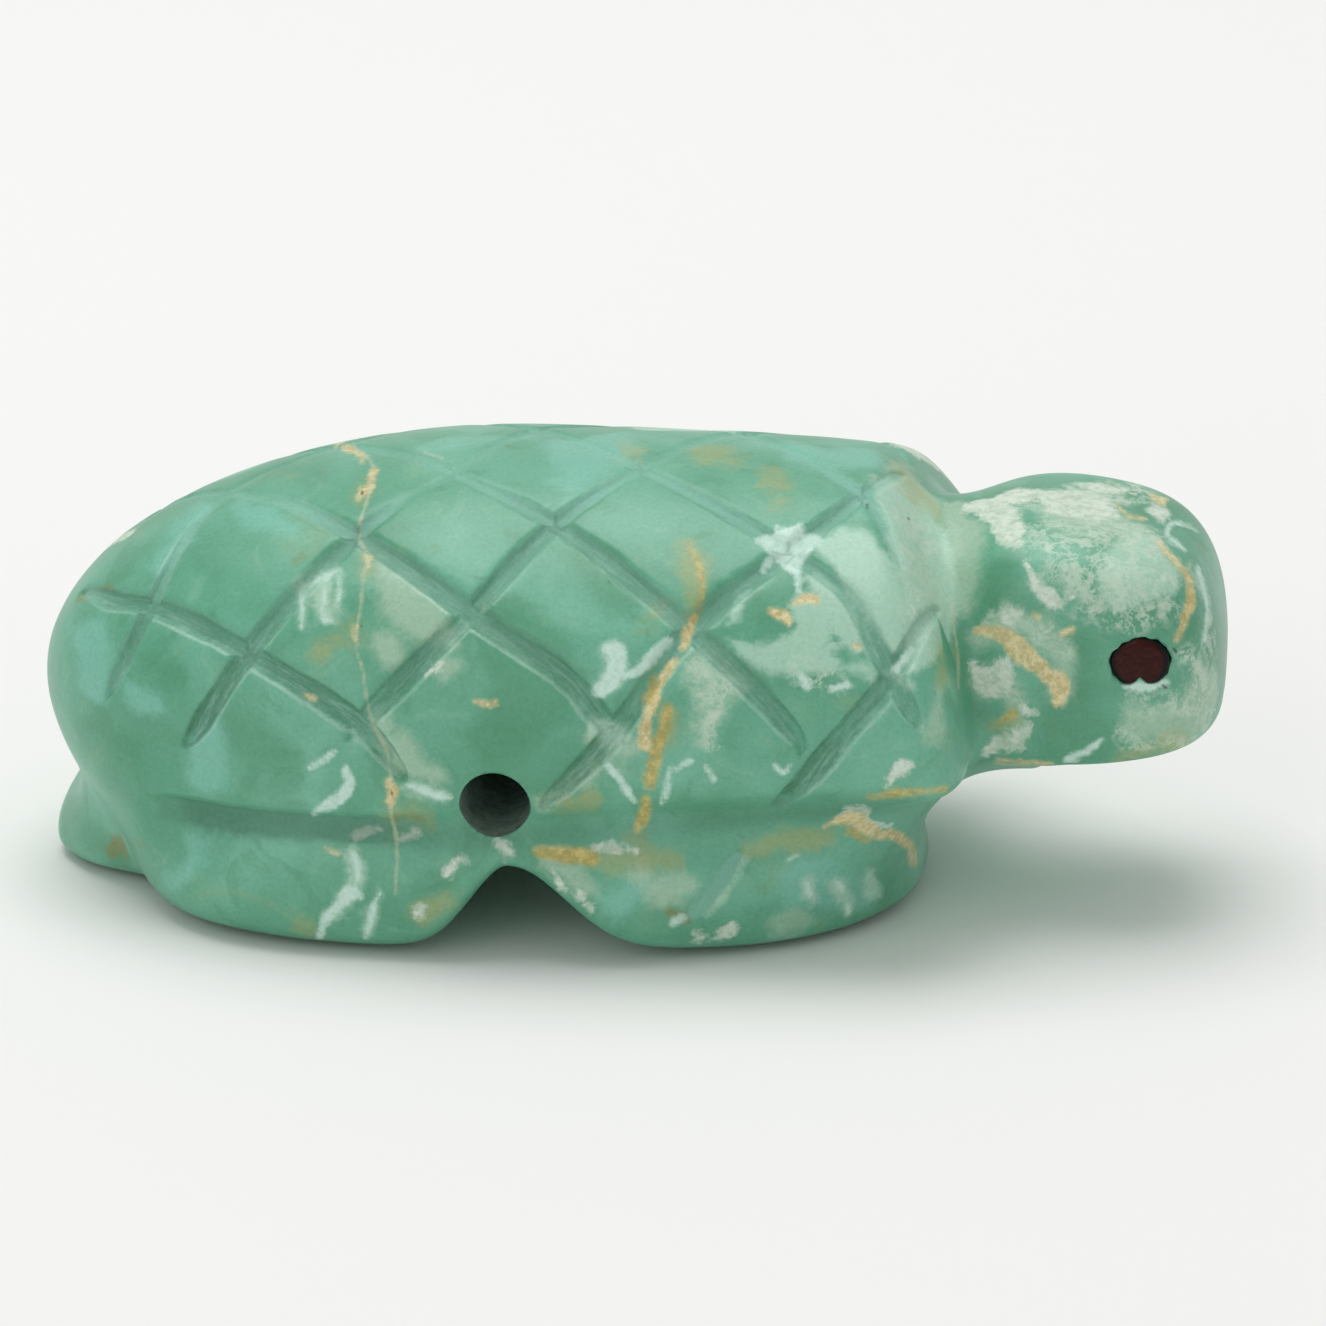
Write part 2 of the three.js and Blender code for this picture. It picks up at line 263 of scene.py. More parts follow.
# %% A coarse skin, and rows spaced evenly along it
COARSE_ROWS, COARSE_TURNS = 201, 120
coarse_row = np.linspace(0.0, 1.0, COARSE_ROWS)
coarse_turn = np.linspace(0.0, 2.0 * np.pi, COARSE_TURNS, endpoint=False)
start, way = rays(coarse_row[:, None], coarse_turn[None, :])
coarse_r = exit_distance(start, way)
coarse_skin = start + way * coarse_r[..., None]
gaps = np.linalg.norm(np.diff(coarse_skin, axis=0), axis=-1).max(axis=1)
row_at = np.concatenate([[0.0], np.cumsum(gaps + 0.3 * gaps.mean())])
row_at /= row_at[-1]
print("coarse skin from", coarse_skin.min((0, 1)).round(2), "to", coarse_skin.max((0, 1)).round(2))

# %% The fine skin
ROWS, TURNS = 620, 460


def upsample(rows, turns):
    """The coarse distances read between their own rows and turns, bilinearly and closed around."""
    i = np.clip(rows * (COARSE_ROWS - 1), 0.0, COARSE_ROWS - 1.001)
    j = turns / (2.0 * np.pi) * COARSE_TURNS
    i0, j0 = i.astype(int), j.astype(int) % COARSE_TURNS
    fi, fj = (i - i0)[:, None], (j - np.floor(j))[None, :]
    j1 = (j0 + 1) % COARSE_TURNS
    low = coarse_r[i0][:, j0] * (1.0 - fj) + coarse_r[i0][:, j1] * fj
    high = coarse_r[i0 + 1][:, j0] * (1.0 - fj) + coarse_r[i0 + 1][:, j1] * fj
    return low * (1.0 - fi) + high * fi


rows = np.interp(np.linspace(0.0, 1.0, ROWS), row_at, coarse_row)
turns = np.linspace(0.0, 2.0 * np.pi, TURNS, endpoint=False)
start, way = rays(rows[:, None], turns[None, :])
reach = upsample(rows, turns)
for _ in range(5):
    here = value_at(start, way, reach)
    slope = (value_at(start, way, reach + 0.01) - here) / 0.01
    reach = reach - np.clip(here / np.maximum(slope, 0.25), -0.2, 0.2)
skin = start + way * reach[..., None]
print("fine skin", skin.shape, "worst miss", float(np.abs(value_at(start, way, reach)).max()))


# %% Outward direction of the skin
def outward(p):
    """The gradient of the stone function, by small steps, made unit length."""
    e = 0.02
    x, y, z = p[..., 0], p[..., 1], p[..., 2]
    g = np.stack([
        stone(x + e, y, z) - stone(x - e, y, z),
        stone(x, y + e, z) - stone(x, y - e, z),
        stone(x, y, z + e) - stone(x, y, z - e),
    ], -1)
    return g / np.maximum(np.linalg.norm(g, axis=-1, keepdims=True), 1e-9)


out = outward(skin)

# %% [markdown]
# ## Places on the stone
# Marks and lines have to sit on the stone itself, or they would slide when the camera moves. The
# lines are given as places along the shell and angles round it: 0 degrees is the right side, 90 the
# ridge and 180 the left side. So are the marks that the photograph doesn't show.

# %% Casting angles onto the stone
def at_angles(knots):
    """Points on the skin at [x, degrees]: rays from the shell's axis line, square to it."""
    x, angle = np.asarray(knots, float)[:, :2].T
    a = np.radians(angle)
    origin = np.stack([x, 0.0 * x, 0.0 * x + SHELL_AXIS], -1)
    direction = np.stack([0.0 * x, -np.cos(a), np.sin(a)], -1)
    return origin + direction * exit_distance(origin, direction)[:, None]


def smooth_knots(knots, per_span):
    """Catmull-Rom curve through the knots, with per_span points for each stretch."""
    k = np.asarray(knots, float)
    k = np.concatenate([2 * k[:1] - k[1:2], k, 2 * k[-1:] - k[-2:-1]])
    t = np.linspace(0.0, 1.0, per_span, endpoint=False)[:, None]
    p0, p1, p2, p3 = (k[i:len(k) - 3 + i, None] for i in range(4))
    curve = 0.5 * (2 * p1 + (p2 - p0) * t + (2 * p0 - 5 * p1 + 4 * p2 - p3) * t ** 2
                   + (3 * p1 - p0 - 3 * p2 + p3) * t ** 3)
    return np.concatenate([curve.reshape(-1, k.shape[1]), k[-2:-1]])


# %% Distance from many points to a line
def nearest_on_line(points, line, width=None):
    """For each point its distance to a line of many points, less the line's width there if it has
    one, how far along the line that is, and how far it lies above or below the line, as the sine."""
    best = np.full(len(points), 1e9)
    along, rise = np.zeros(len(points)), np.zeros(len(points))
    width = np.zeros(len(line)) if width is None else width
    steps = np.maximum(np.linalg.norm(np.diff(line, axis=0), axis=1), 1e-9)
    done = np.concatenate([[0.0], np.cumsum(steps)])
    for n, step in enumerate(steps):
        ab = (line[n + 1] - line[n]) / step
        t = np.clip((points - line[n]) @ ab, 0.0, step)
        off = points - line[n] - t[:, None] * ab
        length = np.linalg.norm(off, axis=1)
        d = length - width[n] - (width[n + 1] - width[n]) * t / step
        closer = d < best
        best = np.where(closer, d, best)
        along = np.where(closer, done[n] + t, along)
        rise = np.where(closer, off[:, 2] / np.maximum(length, 1e-6), rise)
    return best, along, rise


def near(points, line, reach):
    """Indices of the points inside the line's own box, grown by reach."""
    low, high = line.min(0) - reach, line.max(0) + reach
    return np.flatnonzero(((points > low) & (points < high)).all(axis=1))


# %% [markdown]
# ## The wheel-cut lines
# Each line of the shell is one pass of a small grinding wheel: a flat-floored groove with sloping
# walls that starts and ends in a boat-shaped point. The lines follow each other over the ridge, so
# the net is one pattern all around. They could be painted or bumped, but real depth is what catches
# the light, so the skin is pushed in along its own outward direction.

# %% The net of lines, as [x, angle, press] knots
NET = [
    # climbing forwards
    [[-13.94, 6.5, 0.5], [-12.8, 37.5, 0.75], [-11.16, 86, 0.25], [-8.4, 104, 0.5], [-5.7, 127, 0.9],
     [-2.7, 147, 1], [0.3, 168, 1], [2.6, 184, 0.7]],
    [[-11.6, -2, 0.8], [-9.85, 22.8, 1], [-7.18, 52.2, 0.8], [-5.9, 64, 0.1], [-4.83, 74, 0.2],
     [-2.9, 104, 0.5], [0.1, 127, 0.9], [2.9, 147, 1], [5.6, 168, 0.9], [7.0, 181, 0.7]],
    [[-7.1, 5, 0.7], [-6.07, 14, 1], [-3.83, 32.5, 1], [-1.8, 55.2, 0.7], [0.2, 78, 0.4], [1.55, 98, 0.4],
     [2.6, 112, 0.5], [5.4, 127, 0.9], [7.5, 146, 0.8]],
    [[-1.83, -7, 0.8], [0.15, 9.4, 1], [2.05, 30.5, 1], [4.47, 50.1, 0.8], [6.23, 71.4, 0.7],
     [7.15, 96, 0.4]],
    [[4.35, -7.6, 0.8], [6.13, 9.6, 1], [7.47, 22.5, 0.9], [8.2, 36, 0.5], [8.46, 44, 0.3]],
    [[-13.6, 104, 0.4], [-11.2, 127, 0.9], [-8.3, 147, 1], [-5.3, 168, 1], [-3.2, 183, 0.7]],
    [[-14.9, 132, 0.7], [-13.2, 147, 1], [-10.8, 168, 1], [-9.2, 182, 0.7]],
    # climbing backwards
    [[-5.4, -2, 0.9], [-6.8, 9.2, 1], [-9.85, 22.8, 1], [-12.8, 37.5, 0.9], [-14.12, 45.4, 0.7],
     [-15.1, 62, 0.4]],
    [[0.4, 7, 0.9], [-0.3, 13, 1], [-1.36, 21, 1], [-3.83, 32.5, 1], [-7.18, 52.2, 0.7], [-9.2, 68, 0.4],
     [-11.16, 86, 0.25], [-13.9, 124, 0.6]],
    [[5.1, 6, 0.7], [5.0, 9.4, 0.9], [3.99, 17.6, 1], [2.05, 30.5, 0.9], [-1.8, 55.2, 0.7],
     [-4.83, 74, 0.4], [-8.4, 104, 0.5], [-11.2, 127, 0.9], [-13.2, 147, 1], [-14.5, 164, 0.7]],
    [[8.23, 12, 0.7], [7.47, 22.5, 0.9], [6.77, 31.7, 0.8], [6.1, 39.8, 0.6], [5.05, 46.5, 0.6],
     [4.47, 50.1, 0.6], [0.2, 78, 0.5], [-2.9, 104, 0.5], [-5.7, 127, 0.9], [-8.3, 147, 1],
     [-10.8, 168, 1], [-12.1, 181, 0.7]],
    [[7.5, 47, 0.15], [7.42, 50, 0.25], [7.03, 58, 0.35], [6.23, 71.4, 0.6], [3.1, 103.8, 0.5],
     [2.6, 112, 0.5], [0.1, 127, 0.9], [-2.7, 147, 1], [-5.3, 168, 1], [-6.7, 182, 0.7]],
    [[7.2, 106, 0.5], [5.4, 127, 0.9], [2.9, 147, 1], [0.3, 168, 1], [-1.3, 183, 0.7]],
    [[7.8, 140, 0.7], [7.3, 149, 0.9], [5.6, 168, 1], [4.2, 181, 0.7]],
]
LEG_MARKS = [
    [[3.5, -17.5, 0.35], [2.75, -24, 0.45], [2.0, -29.5, 0.35]],
    [[3.3, 196, 0.4], [2.1, 208, 0.4]],
]
LINE_HALF, LINE_DEPTH = 0.36, 0.27
RIDGE_ANGLE = 88.0


def wheel_lines(knot_lists):
    """For each list of knots the points of the line on the stone, and the press at each point.

    Handling has worn the ridge: there the press drops by a bell, 1 - 0.45 exp(-(turn / width)^2)."""
    smooth = [smooth_knots(knots, 8) for knots in knot_lists]
    worn = [1.0 - 0.45 * np.exp(-((knots[:, 1] - RIDGE_ANGLE) / 24.0) ** 2) for knots in smooth]
    return [(at_angles(knots), np.clip(knots[:, 2] * w, 0.0, 1.0)) for knots, w in zip(smooth, worn)]


lines = wheel_lines(NET + LEG_MARKS)
print(len(lines), "lines,", round(sum(np.linalg.norm(np.diff(n, axis=0), axis=1).sum() for n, _ in lines)),
      "mm of cutting")


# %% A value noise, for what the hand and the stone make uneven
def lumps(p, size, seed):
    """Smooth random values from -1 to 1: random numbers on a cubic lattice of that size in mm,
    read between the lattice points with eased weights."""
    table = np.random.default_rng(seed).uniform(-1.0, 1.0, (32, 32, 32))
    q = p / size
    i = np.floor(q).astype(int)
    f = q - i
    f = f * f * (3.0 - 2.0 * f)
    total = 0.0
    for corner in range(8):
        o = np.array([corner >> 2 & 1, corner >> 1 & 1, corner & 1])
        w = np.prod(np.where(o, f, 1.0 - f), axis=-1)
        k = (i + o) % 32
        total = total + w * table[k[..., 0], k[..., 1], k[..., 2]]
    return total


# %% How deep the wheel went
def wheel_profile(field):
    """Depth share of a cut from the distance in half widths: flat floor, steep walls, worn brim."""
    return 0.92 * (1.0 - ease(0.42, 1.0, field)) + 0.08 * (1.0 - ease(0.9, 1.45, field))


def wheel_cuts(points):
    """What the cuts are at each point: depth share, and for the nearest line the distance from
    its middle in half widths, how much of that is upwards, the length along it in mm, and the
    press. Towards its ends a line narrows like a boat."""
    depth, field = np.zeros(len(points)), np.full(len(points), 4.0)
    upward, along, press = np.zeros(len(points)), np.zeros(len(points)), np.zeros(len(points))
    ragged = 0.16 * lumps(points, 0.35, 21)
    for n, (line, pressed) in enumerate(lines):
        own = near(points, line, 4.0 * LINE_HALF)
        away, far, rise = nearest_on_line(points[own], line)
        steps = np.concatenate([[0.0], np.cumsum(np.linalg.norm(np.diff(line, axis=0), axis=1))])
        here = np.interp(far, steps, pressed)
        end = np.clip(np.minimum(far, steps[-1] - far) / 1.2, 0.0, 1.0)
        sway = 1.0 + 0.12 * lumps(np.stack([far, 0 * far + 3.0 * n, 0 * far], -1), 1.1, 11)
        wide = LINE_HALF * np.maximum(np.sqrt(end * (2.0 - end)) * sway * (0.55 + 0.45 * here), 0.02)
        share = away / wide
        rough = share + ragged[own] * ease(0.5, 1.0, share) * (1.0 - ease(1.0, 1.8, share))
        depth[own] = np.maximum(depth[own], here * wheel_profile(rough))
        closer = share < field[own]
        mine = own[closer]
        field[mine], upward[mine] = share[closer], (share * rise)[closer]
        along[mine], press[mine] = far[closer] + 7.0 * n, here[closer]
    return depth, field, upward, along, press


flat_skin = skin.reshape(-1, 3)
flat_out = out.reshape(-1, 3)
inward = LINE_DEPTH * wheel_cuts(flat_skin)[0]
print("deepest cut", round(float(inward.max()), 3), "mm")

# %% [markdown]
# ## Hand work
# A stone that was ground by hand has no perfect curve: its surface swells and dips by a few
# hundredths of a millimetre, and the drill's mouth is worn round where a cord has rubbed.

# %% Swells, dips and the worn mouth of the hole
BORE_X, BORE_Z, BORE_RADIUS = -3.05, 4.52, 0.95
inward = inward + 0.03 * lumps(flat_skin, 3.1, 31) + 0.012 * lumps(flat_skin, 1.2, 32)
mouth = np.hypot(flat_skin[:, 0] - BORE_X, flat_skin[:, 2] - BORE_Z)
inward = inward + 0.1 * (1.0 - ease(BORE_RADIUS, BORE_RADIUS + 0.28, mouth)) * (np.abs(flat_skin[:, 1]) > 5)
carved = flat_skin - flat_out * inward[:, None]
carved[:, 2] = np.maximum(carved[:, 2], 0.0)
carved = carved.reshape(ROWS, TURNS, 3)


# %% A closed grid becomes a mesh
def closed_skin(name, grid):
    """A grid of rows by turns, closed around, with one point for all of its first and last row."""
    rows_in, turns_in = grid.shape[0] - 2, grid.shape[1]
    points = np.concatenate([grid[:1, 0], grid[1:-1].reshape(-1, 3), grid[-1:, 0]])
    index = 1 + np.arange(rows_in * turns_in).reshape(rows_in, turns_in)
    beside = np.roll(index, -1, axis=1)
    quads = np.stack([index[:-1], index[1:], beside[1:], beside[:-1]], -1).reshape(-1, 4)
    last = len(points) - 1
    tail_fan = np.stack([np.zeros(turns_in, int), index[0], beside[0]], -1)
    nose_fan = np.stack([np.full(turns_in, last), beside[-1], index[-1]], -1)
    corners = np.concatenate([quads.ravel(), tail_fan.ravel(), nose_fan.ravel()])
    sizes = np.concatenate([np.full(len(quads), 4), np.full(2 * turns_in, 3)])
    mesh = bpy.data.meshes.new(name)
    mesh.vertices.add(len(points))
    mesh.vertices.foreach_set("co", (points * MM).astype(np.float32).ravel())
    mesh.loops.add(len(corners))
    mesh.loops.foreach_set("vertex_index", corners.astype(np.int32))
    mesh.polygons.add(len(sizes))
    mesh.polygons.foreach_set("loop_start", np.concatenate([[0], np.cumsum(sizes)[:-1]]).astype(np.int32))
    mesh.update(calc_edges=True)
    mesh.validate()
    obj = bpy.data.objects.new(name, mesh)
    bpy.context.scene.collection.objects.link(obj)
    return obj


def turned_plug(name, profile, outline, x, z):
    """A profile of [radius, y] carried round an axis along Y; outline is the share of the radius
    at each of the evenly spaced turns, so that a plug can be out of round."""
    a = np.linspace(0.0, 2.0 * np.pi, len(outline), endpoint=False)
    r, y = np.asarray(profile, float).T
    ring = r[:, None] * outline[None, :]
    grid = np.stack([x + ring * np.cos(a), y[:, None] + 0 * ring, z + ring * np.sin(a)], -1)
    return closed_skin(name, grid)


blank = closed_skin("blank", carved)
print("blank has", len(blank.data.polygons), "faces")

# %% [markdown]
# ## The stone's own markings
# Turquoise grows in cracks of its host rock. What is left of the rock runs through the blue-green
# stone as ochre and tan veins, and weathered places go chalky and pale. The photograph's veins and
# clouds are noted as strokes: a few pixels with a half width at each. The deep strokes also paint
# shade into recesses, and one lace stroke paints light. Every point of the mesh keeps
# how far it is outside the nearest stroke of each kind, in millimetres, after the whole pattern
# was bent a little by a noise. The material then frays that smooth number's edge with finer noise,
# so the marks look grown and not drawn.

# %% Strokes that the photograph shows, as lists of (pixel x, pixel y, half width in pixels)
# deep: the stone's deeper green, and painted shade along the line under the shell, in the recess at the neck and
# over the tail
DEEP_AND_SHADE = [
    [(1008, 556, 5), (1006, 580, 17), (998, 602, 18), (1040, 610, 6)],
    [(1082, 640, 11), (1090, 662, 13), (1084, 690, 14), (1060, 722, 18), (1086, 736, 26), (1106, 746, 8)],
    [(1124, 497, 5), (1140, 508, 6)],
    [(1168, 508, 4), (1190, 514, 8), (1203, 527, 5)],
    [(1190, 545, 5), (1202, 578, 6), (1200, 620, 6), (1189, 652, 4)],
    [(962, 640, 5), (962, 665, 7), (974, 708, 11), (985, 718, 6)],
    [(100, 720, 14), (128, 748, 12)],
    [(738, 857, 3), (717, 884, 8), (694, 912, 4)],
    [(255, 742, 10), (250, 790, 12)],
    [(758, 602, 8), (764, 620, 9)],
    [(500, 620, 30), (540, 680, 40), (500, 745, 30)],
    [(590, 560, 20), (620, 600, 22)],
    [(235, 730, 20), (290, 770, 22), (270, 790, 12)],
    [(520, 780, 10), (560, 800, 12)],
    [(190, 800, 8), (300, 808, 10)],
    [(640, 800, 12), (720, 812, 14), (860, 805, 8), (920, 800, 6)],
    [(66, 800, 14), (84, 830, 18), (124, 852, 14)],
    [(150, 662, 12), (170, 680, 12)],
    [(424, 890, 10), (448, 878, 8)],
]
BLUISH = [
    [(204, 740, 20), (207, 775, 20)],
    [(137, 696, 12), (156, 710, 10)],
    [(160, 568, 8), (180, 532, 9), (200, 508, 7)],
    [(240, 505, 8), (262, 516, 13), (290, 528, 9)],
    [(90, 640, 18), (100, 690, 14)],
    [(197, 838, 7), (196, 856, 8), (170, 884, 7)],
    [(615, 902, 16), (640, 890, 12)],
    [(1203, 575, 3), (1206, 600, 4), (1203, 618, 3)],
    [(800, 885, 24), (860, 890, 18)],
    [(560, 450, 16), (620, 440, 20), (560, 485, 14)],
    [(860, 450, 20), (800, 447, 16)],
    [(420, 445, 8), (520, 432, 8), (700, 430, 9), (900, 438, 9)],
]
HAZE = [
    [(378, 572, 8), (398, 600, 20), (425, 622, 22), (448, 640, 12)],
    [(385, 640, 12), (396, 658, 10)],
    [(440, 670, 10), (458, 664, 8)],
    [(308, 590, 12), (324, 602, 14), (334, 620, 8)],
    [(378, 722, 5), (400, 752, 14), (430, 772, 12)],
    [(940, 500, 9), (956, 530, 14), (966, 565, 16), (962, 600, 10)],
    [(893, 470, 10), (918, 488, 16), (934, 540, 13), (940, 600, 12), (934, 640, 8)],
    [(700, 668, 14), (706, 700, 14), (700, 735, 10)],
    [(600, 735, 10), (628, 752, 12)],
    [(545, 800, 8), (575, 780, 10), (600, 765, 6)],
    [(640, 878, 10), (665, 892, 16), (685, 882, 10)],
    [(780, 928, 12), (800, 920, 8)],
    [(985, 640, 12), (1010, 624, 14), (1040, 632, 15), (1060, 660, 13), (1062, 690, 10)],
    [(990, 682, 15), (1008, 692, 12), (1016, 722, 11)],
    [(1060, 520, 14), (1120, 528, 16), (1155, 560, 12)],
    [(960, 500, 12), (966, 530, 14), (963, 575, 13), (958, 606, 8)],
    [(1138, 722, 16), (1185, 722, 20), (1208, 675, 12)],
    [(940, 690, 5), (932, 740, 8)],
    [(555, 860, 14), (585, 885, 12)],
    [(712, 652, 8), (735, 690, 8)],
]
MINT = [
    [(824, 549, 9), (850, 552, 24), (870, 578, 29), (888, 612, 23), (894, 640, 10)],
    [(872, 484, 6), (900, 508, 22), (918, 548, 28), (928, 592, 28), (926, 632, 24), (916, 662, 12)],
    [(736, 634, 5), (745, 652, 9), (768, 658, 14), (798, 650, 22), (815, 628, 20), (803, 606, 11)],
    [(733, 625, 4), (740, 606, 3), (752, 592, 2.5)],
    [(820, 655, 15), (838, 668, 9)],
    [(812, 578, 6), (828, 600, 13), (846, 622, 13), (858, 645, 9)],
    [(862, 668, 7), (872, 680, 4)],
    [(893, 672, 5), (908, 688, 6)],
    [(1160, 575, 22), (1120, 585, 24), (1140, 560, 26)],
    [(600, 726, 10), (616, 736, 10)],
    [(303, 590, 4), (302, 612, 5), (304, 626, 4)],
    [(306, 590, 3), (322, 580, 4), (338, 571, 3), (341, 590, 4), (336, 606, 4)],
    [(326, 582, 4), (322, 602, 5), (330, 622, 5)],
    [(408, 787, 5), (425, 793, 7), (446, 798, 4)],
    [(350, 852, 6), (358, 876, 9), (344, 900, 10), (330, 920, 7)],
    [(380, 893, 3), (371, 914, 5), (366, 934, 4)],
    [(806, 882, 7), (811, 896, 8)],
    [(835, 884, 7), (846, 898, 8), (850, 910, 5)],
    [(870, 876, 7), (875, 892, 7)],
    [(743, 858, 1.3), (731, 884, 1.8), (706, 912, 1.5)],
    [(607, 649, 7), (618, 656, 11), (612, 676, 11), (600, 690, 7)],
]
OLIVE = [
    [(684, 540, 8), (698, 575, 14), (690, 618, 8)],
    [(655, 608, 8), (648, 634, 6)],
    [(664, 705, 6), (668, 745, 7)],
    [(596, 858, 9), (640, 860, 10), (676, 858, 7)],
    [(600, 859, 5), (632, 862, 5)],
    [(743, 852, 5), (776, 844, 9), (806, 840, 12), (826, 834, 9)],
    [(896, 470, 5), (915, 488, 6), (934, 518, 4)],
    [(366, 488, 6), (360, 496, 6)],
    [(356, 628, 7), (357, 640, 7)],
    [(368, 560, 5), (368, 570, 4)],
    [(300, 925, 5), (312, 930, 6)],
    [(698, 455, 7), (716, 456, 9), (735, 458, 7)],
    [(624, 450, 5), (640, 452, 4)],
    [(766, 477, 7), (778, 481, 8), (778, 502, 8)],
    [(318, 650, 10), (346, 636, 9)],
    [(392, 815, 9), (425, 819, 6)],
    [(634, 836, 8), (640, 848, 7)],
    [(1000, 725, 8), (1012, 718, 8)],
    [(940, 680, 5), (948, 650, 4)],
    [(1175, 740, 12), (1120, 757, 7)],
    [(566, 806, 8), (590, 795, 10)],
    [(420, 915, 10), (450, 900, 8)],
]
RUST = [
    [(112, 850, 7), (124, 842, 11), (133, 848, 9)],
    [(392, 819, 1.5), (406, 817, 2), (422, 820, 1.5)],
    [(672, 914, 5), (684, 920, 4)],
    [(70, 608, 3), (79, 599, 2), (110, 586, 2)],
    [(295, 564, 3), (301, 555, 3)],
]
CREAM = [
    [(970, 503, 6), (986, 506, 13), (1003, 520, 17), (1012, 536, 9)],
    [(1002, 495, 9), (1022, 493, 11), (1040, 491, 6)],
    [(1047, 500, 7), (1072, 502, 12), (1098, 508, 13), (1112, 516, 6)],
    [(1064, 480, 3), (1090, 483, 5), (1122, 489, 4)],
    [(1028, 564, 5), (1040, 590, 7), (1055, 601, 7), (1070, 598, 3)],
    [(1150, 507, 6), (1160, 516, 7)],
    [(1003, 618, 5), (1020, 618, 6)],
    [(976, 664, 5), (986, 680, 13), (1001, 682, 12), (1006, 664, 7)],
    [(1022, 706, 5), (1032, 713, 5)],
    [(986, 752, 5), (1000, 746, 8), (1018, 736, 9), (1032, 722, 4)],
    [(843, 818, 6), (856, 817, 11), (872, 822, 10)],
    [(596, 846, 2.5), (614, 845, 3), (632, 850, 2.5)],
    [(500, 845, 6), (508, 852, 7)],
    [(404, 840, 4), (412, 834, 5)],
    [(450, 870, 4), (457, 862, 6)],
    [(416, 917, 4), (421, 910, 4)],
    [(698, 936, 5), (704, 934, 4)],
    [(716, 932, 6), (728, 930, 7)],
    [(886, 785, 4), (894, 774, 6), (906, 766, 4)],
    [(556, 872, 6), (564, 885, 6)],
    [(580, 898, 5), (591, 908, 4)],
    [(424, 676, 2), (436, 667, 3)],
    [(352, 838, 1.3), (366, 832, 1.6), (378, 828, 1.3)],
]
LACE_AND_PAINTED_LIGHT = [
    # chalky lace of the stone, and one stroke of painted light on the shell's front face
    [(1032, 540, 12), (1060, 535, 22), (1095, 546, 26), (1130, 550, 26), (1155, 545, 14)],
    [(1052, 572, 14), (1080, 580, 24), (1115, 588, 24), (1150, 588, 24), (1170, 585, 12)],
    [(1080, 606, 10), (1110, 614, 12), (1145, 615, 16), (1168, 608, 12)],
    [(1190, 655, 8), (1205, 682, 15), (1214, 715, 10)],
    [(1130, 704, 6), (1160, 702, 10), (1192, 706, 11), (1206, 724, 8)],
    [(1120, 728, 6), (1140, 742, 8), (1175, 742, 8)],
    [(1010, 694, 8), (1024, 700, 6)],
    # painted light: this stroke lightens the shell's front face beside the neck, which turns away from the light,
    # over pale stone
    [(900, 508, 8), (921, 556, 14), (924, 600, 15), (916, 645, 10)],
    [(1202, 570, 6), (1211, 610, 8), (1212, 650, 7)],
    [(984, 624, 6), (1002, 610, 8), (1024, 620, 8), (1048, 630, 9), (1062, 652, 8)],
    [(700, 665, 10), (712, 700, 14), (705, 738, 10)],
    [(1000, 500, 12), (1040, 500, 12), (1110, 498, 12)],
    [(800, 668, 12), (830, 684, 12)],
    [(1030, 575, 4), (1050, 606, 5)],
    [(1040, 632, 8), (1056, 650, 8)],
]
WHITE = [
    [(760, 541, 4), (774, 544, 10), (790, 549, 17), (803, 544, 10), (817, 540, 4)],
    [(782, 534, 7), (797, 533, 8)],
    [(784, 560, 7), (796, 558, 5)],
    [(777, 526, 2), (783, 540, 6)],
    [(799, 524, 2.5), (796, 538, 6)],
    [(789, 560, 11), (797, 574, 4), (798, 591, 2)],
    [(772, 560, 4), (764, 571, 3)],
    [(607, 649, 4), (619, 652, 8), (615, 668, 9), (608, 682, 9), (598, 691, 5)],
    [(622, 677, 3), (640, 670, 5), (655, 655, 5), (668, 640, 4)],
    [(301, 596, 1.4), (302, 627, 1.6)],
    [(312, 584, 1.6), (334, 572, 1.4)],
    [(324, 590, 1.4), (324, 620, 1.8), (332, 621, 1.4)],
    [(340, 584, 1.4), (338, 602, 1.6)],
    [(313, 770, 3), (326, 758, 3.5), (336, 750, 2)],
    [(346, 768, 4), (349, 782, 6), (343, 793, 7), (332, 803, 6), (315, 813, 2)],
    [(408, 786, 2), (420, 790, 3), (437, 797, 4), (452, 798, 2)],
    [(352, 852, 2), (358, 864, 3), (357, 880, 3)],
    [(359, 896, 4), (348, 894, 8), (338, 906, 5), (328, 920, 4), (320, 938, 3)],
    [(380, 893, 1.5), (373, 906, 3), (370, 922, 2.5), (364, 938, 2)],
    [(608, 766, 2.5), (622, 780, 3), (628, 792, 4), (634, 800, 2)],
    [(671, 770, 2), (668, 788, 3), (661, 803, 2)],
    [(676, 772, 2), (692, 762, 2.5)],
    [(706, 766, 2), (716, 780, 3)],
    [(774, 764, 2), (781, 773, 3), (789, 764, 2)],
    [(798, 672, 2), (806, 686, 4)],
    [(830, 690, 2), (846, 686, 3)],
    [(1065, 759, 3), (1084, 750, 3.5), (1101, 738, 2)],
    [(1063, 762, 2), (1076, 760, 2.5)],
    [(806, 884, 1.5), (810, 896, 3)],
    [(1199, 566, 1.4), (1206, 600, 1.6), (1205, 640, 1.4)],
    [(1214, 596, 1.3), (1218, 640, 1.3)],
    [(838, 882, 2), (842, 890, 2)],
    [(850, 904, 2), (850, 911, 2)],
    [(1168, 534, 2), (1172, 525, 2.5), (1186, 528, 3), (1200, 533, 3)],
    [(1172, 540, 2), (1186, 550, 2)],
    [(673, 924, 4), (682, 918, 4)],
    [(880, 822, 3), (888, 826, 3), (892, 816, 3)],
    [(896, 668, 5), (912, 648, 3)],
    [(788, 860, 2), (796, 857, 1.5)],
    [(1125, 686, 4), (1145, 687, 4), (1166, 682, 3)],
]
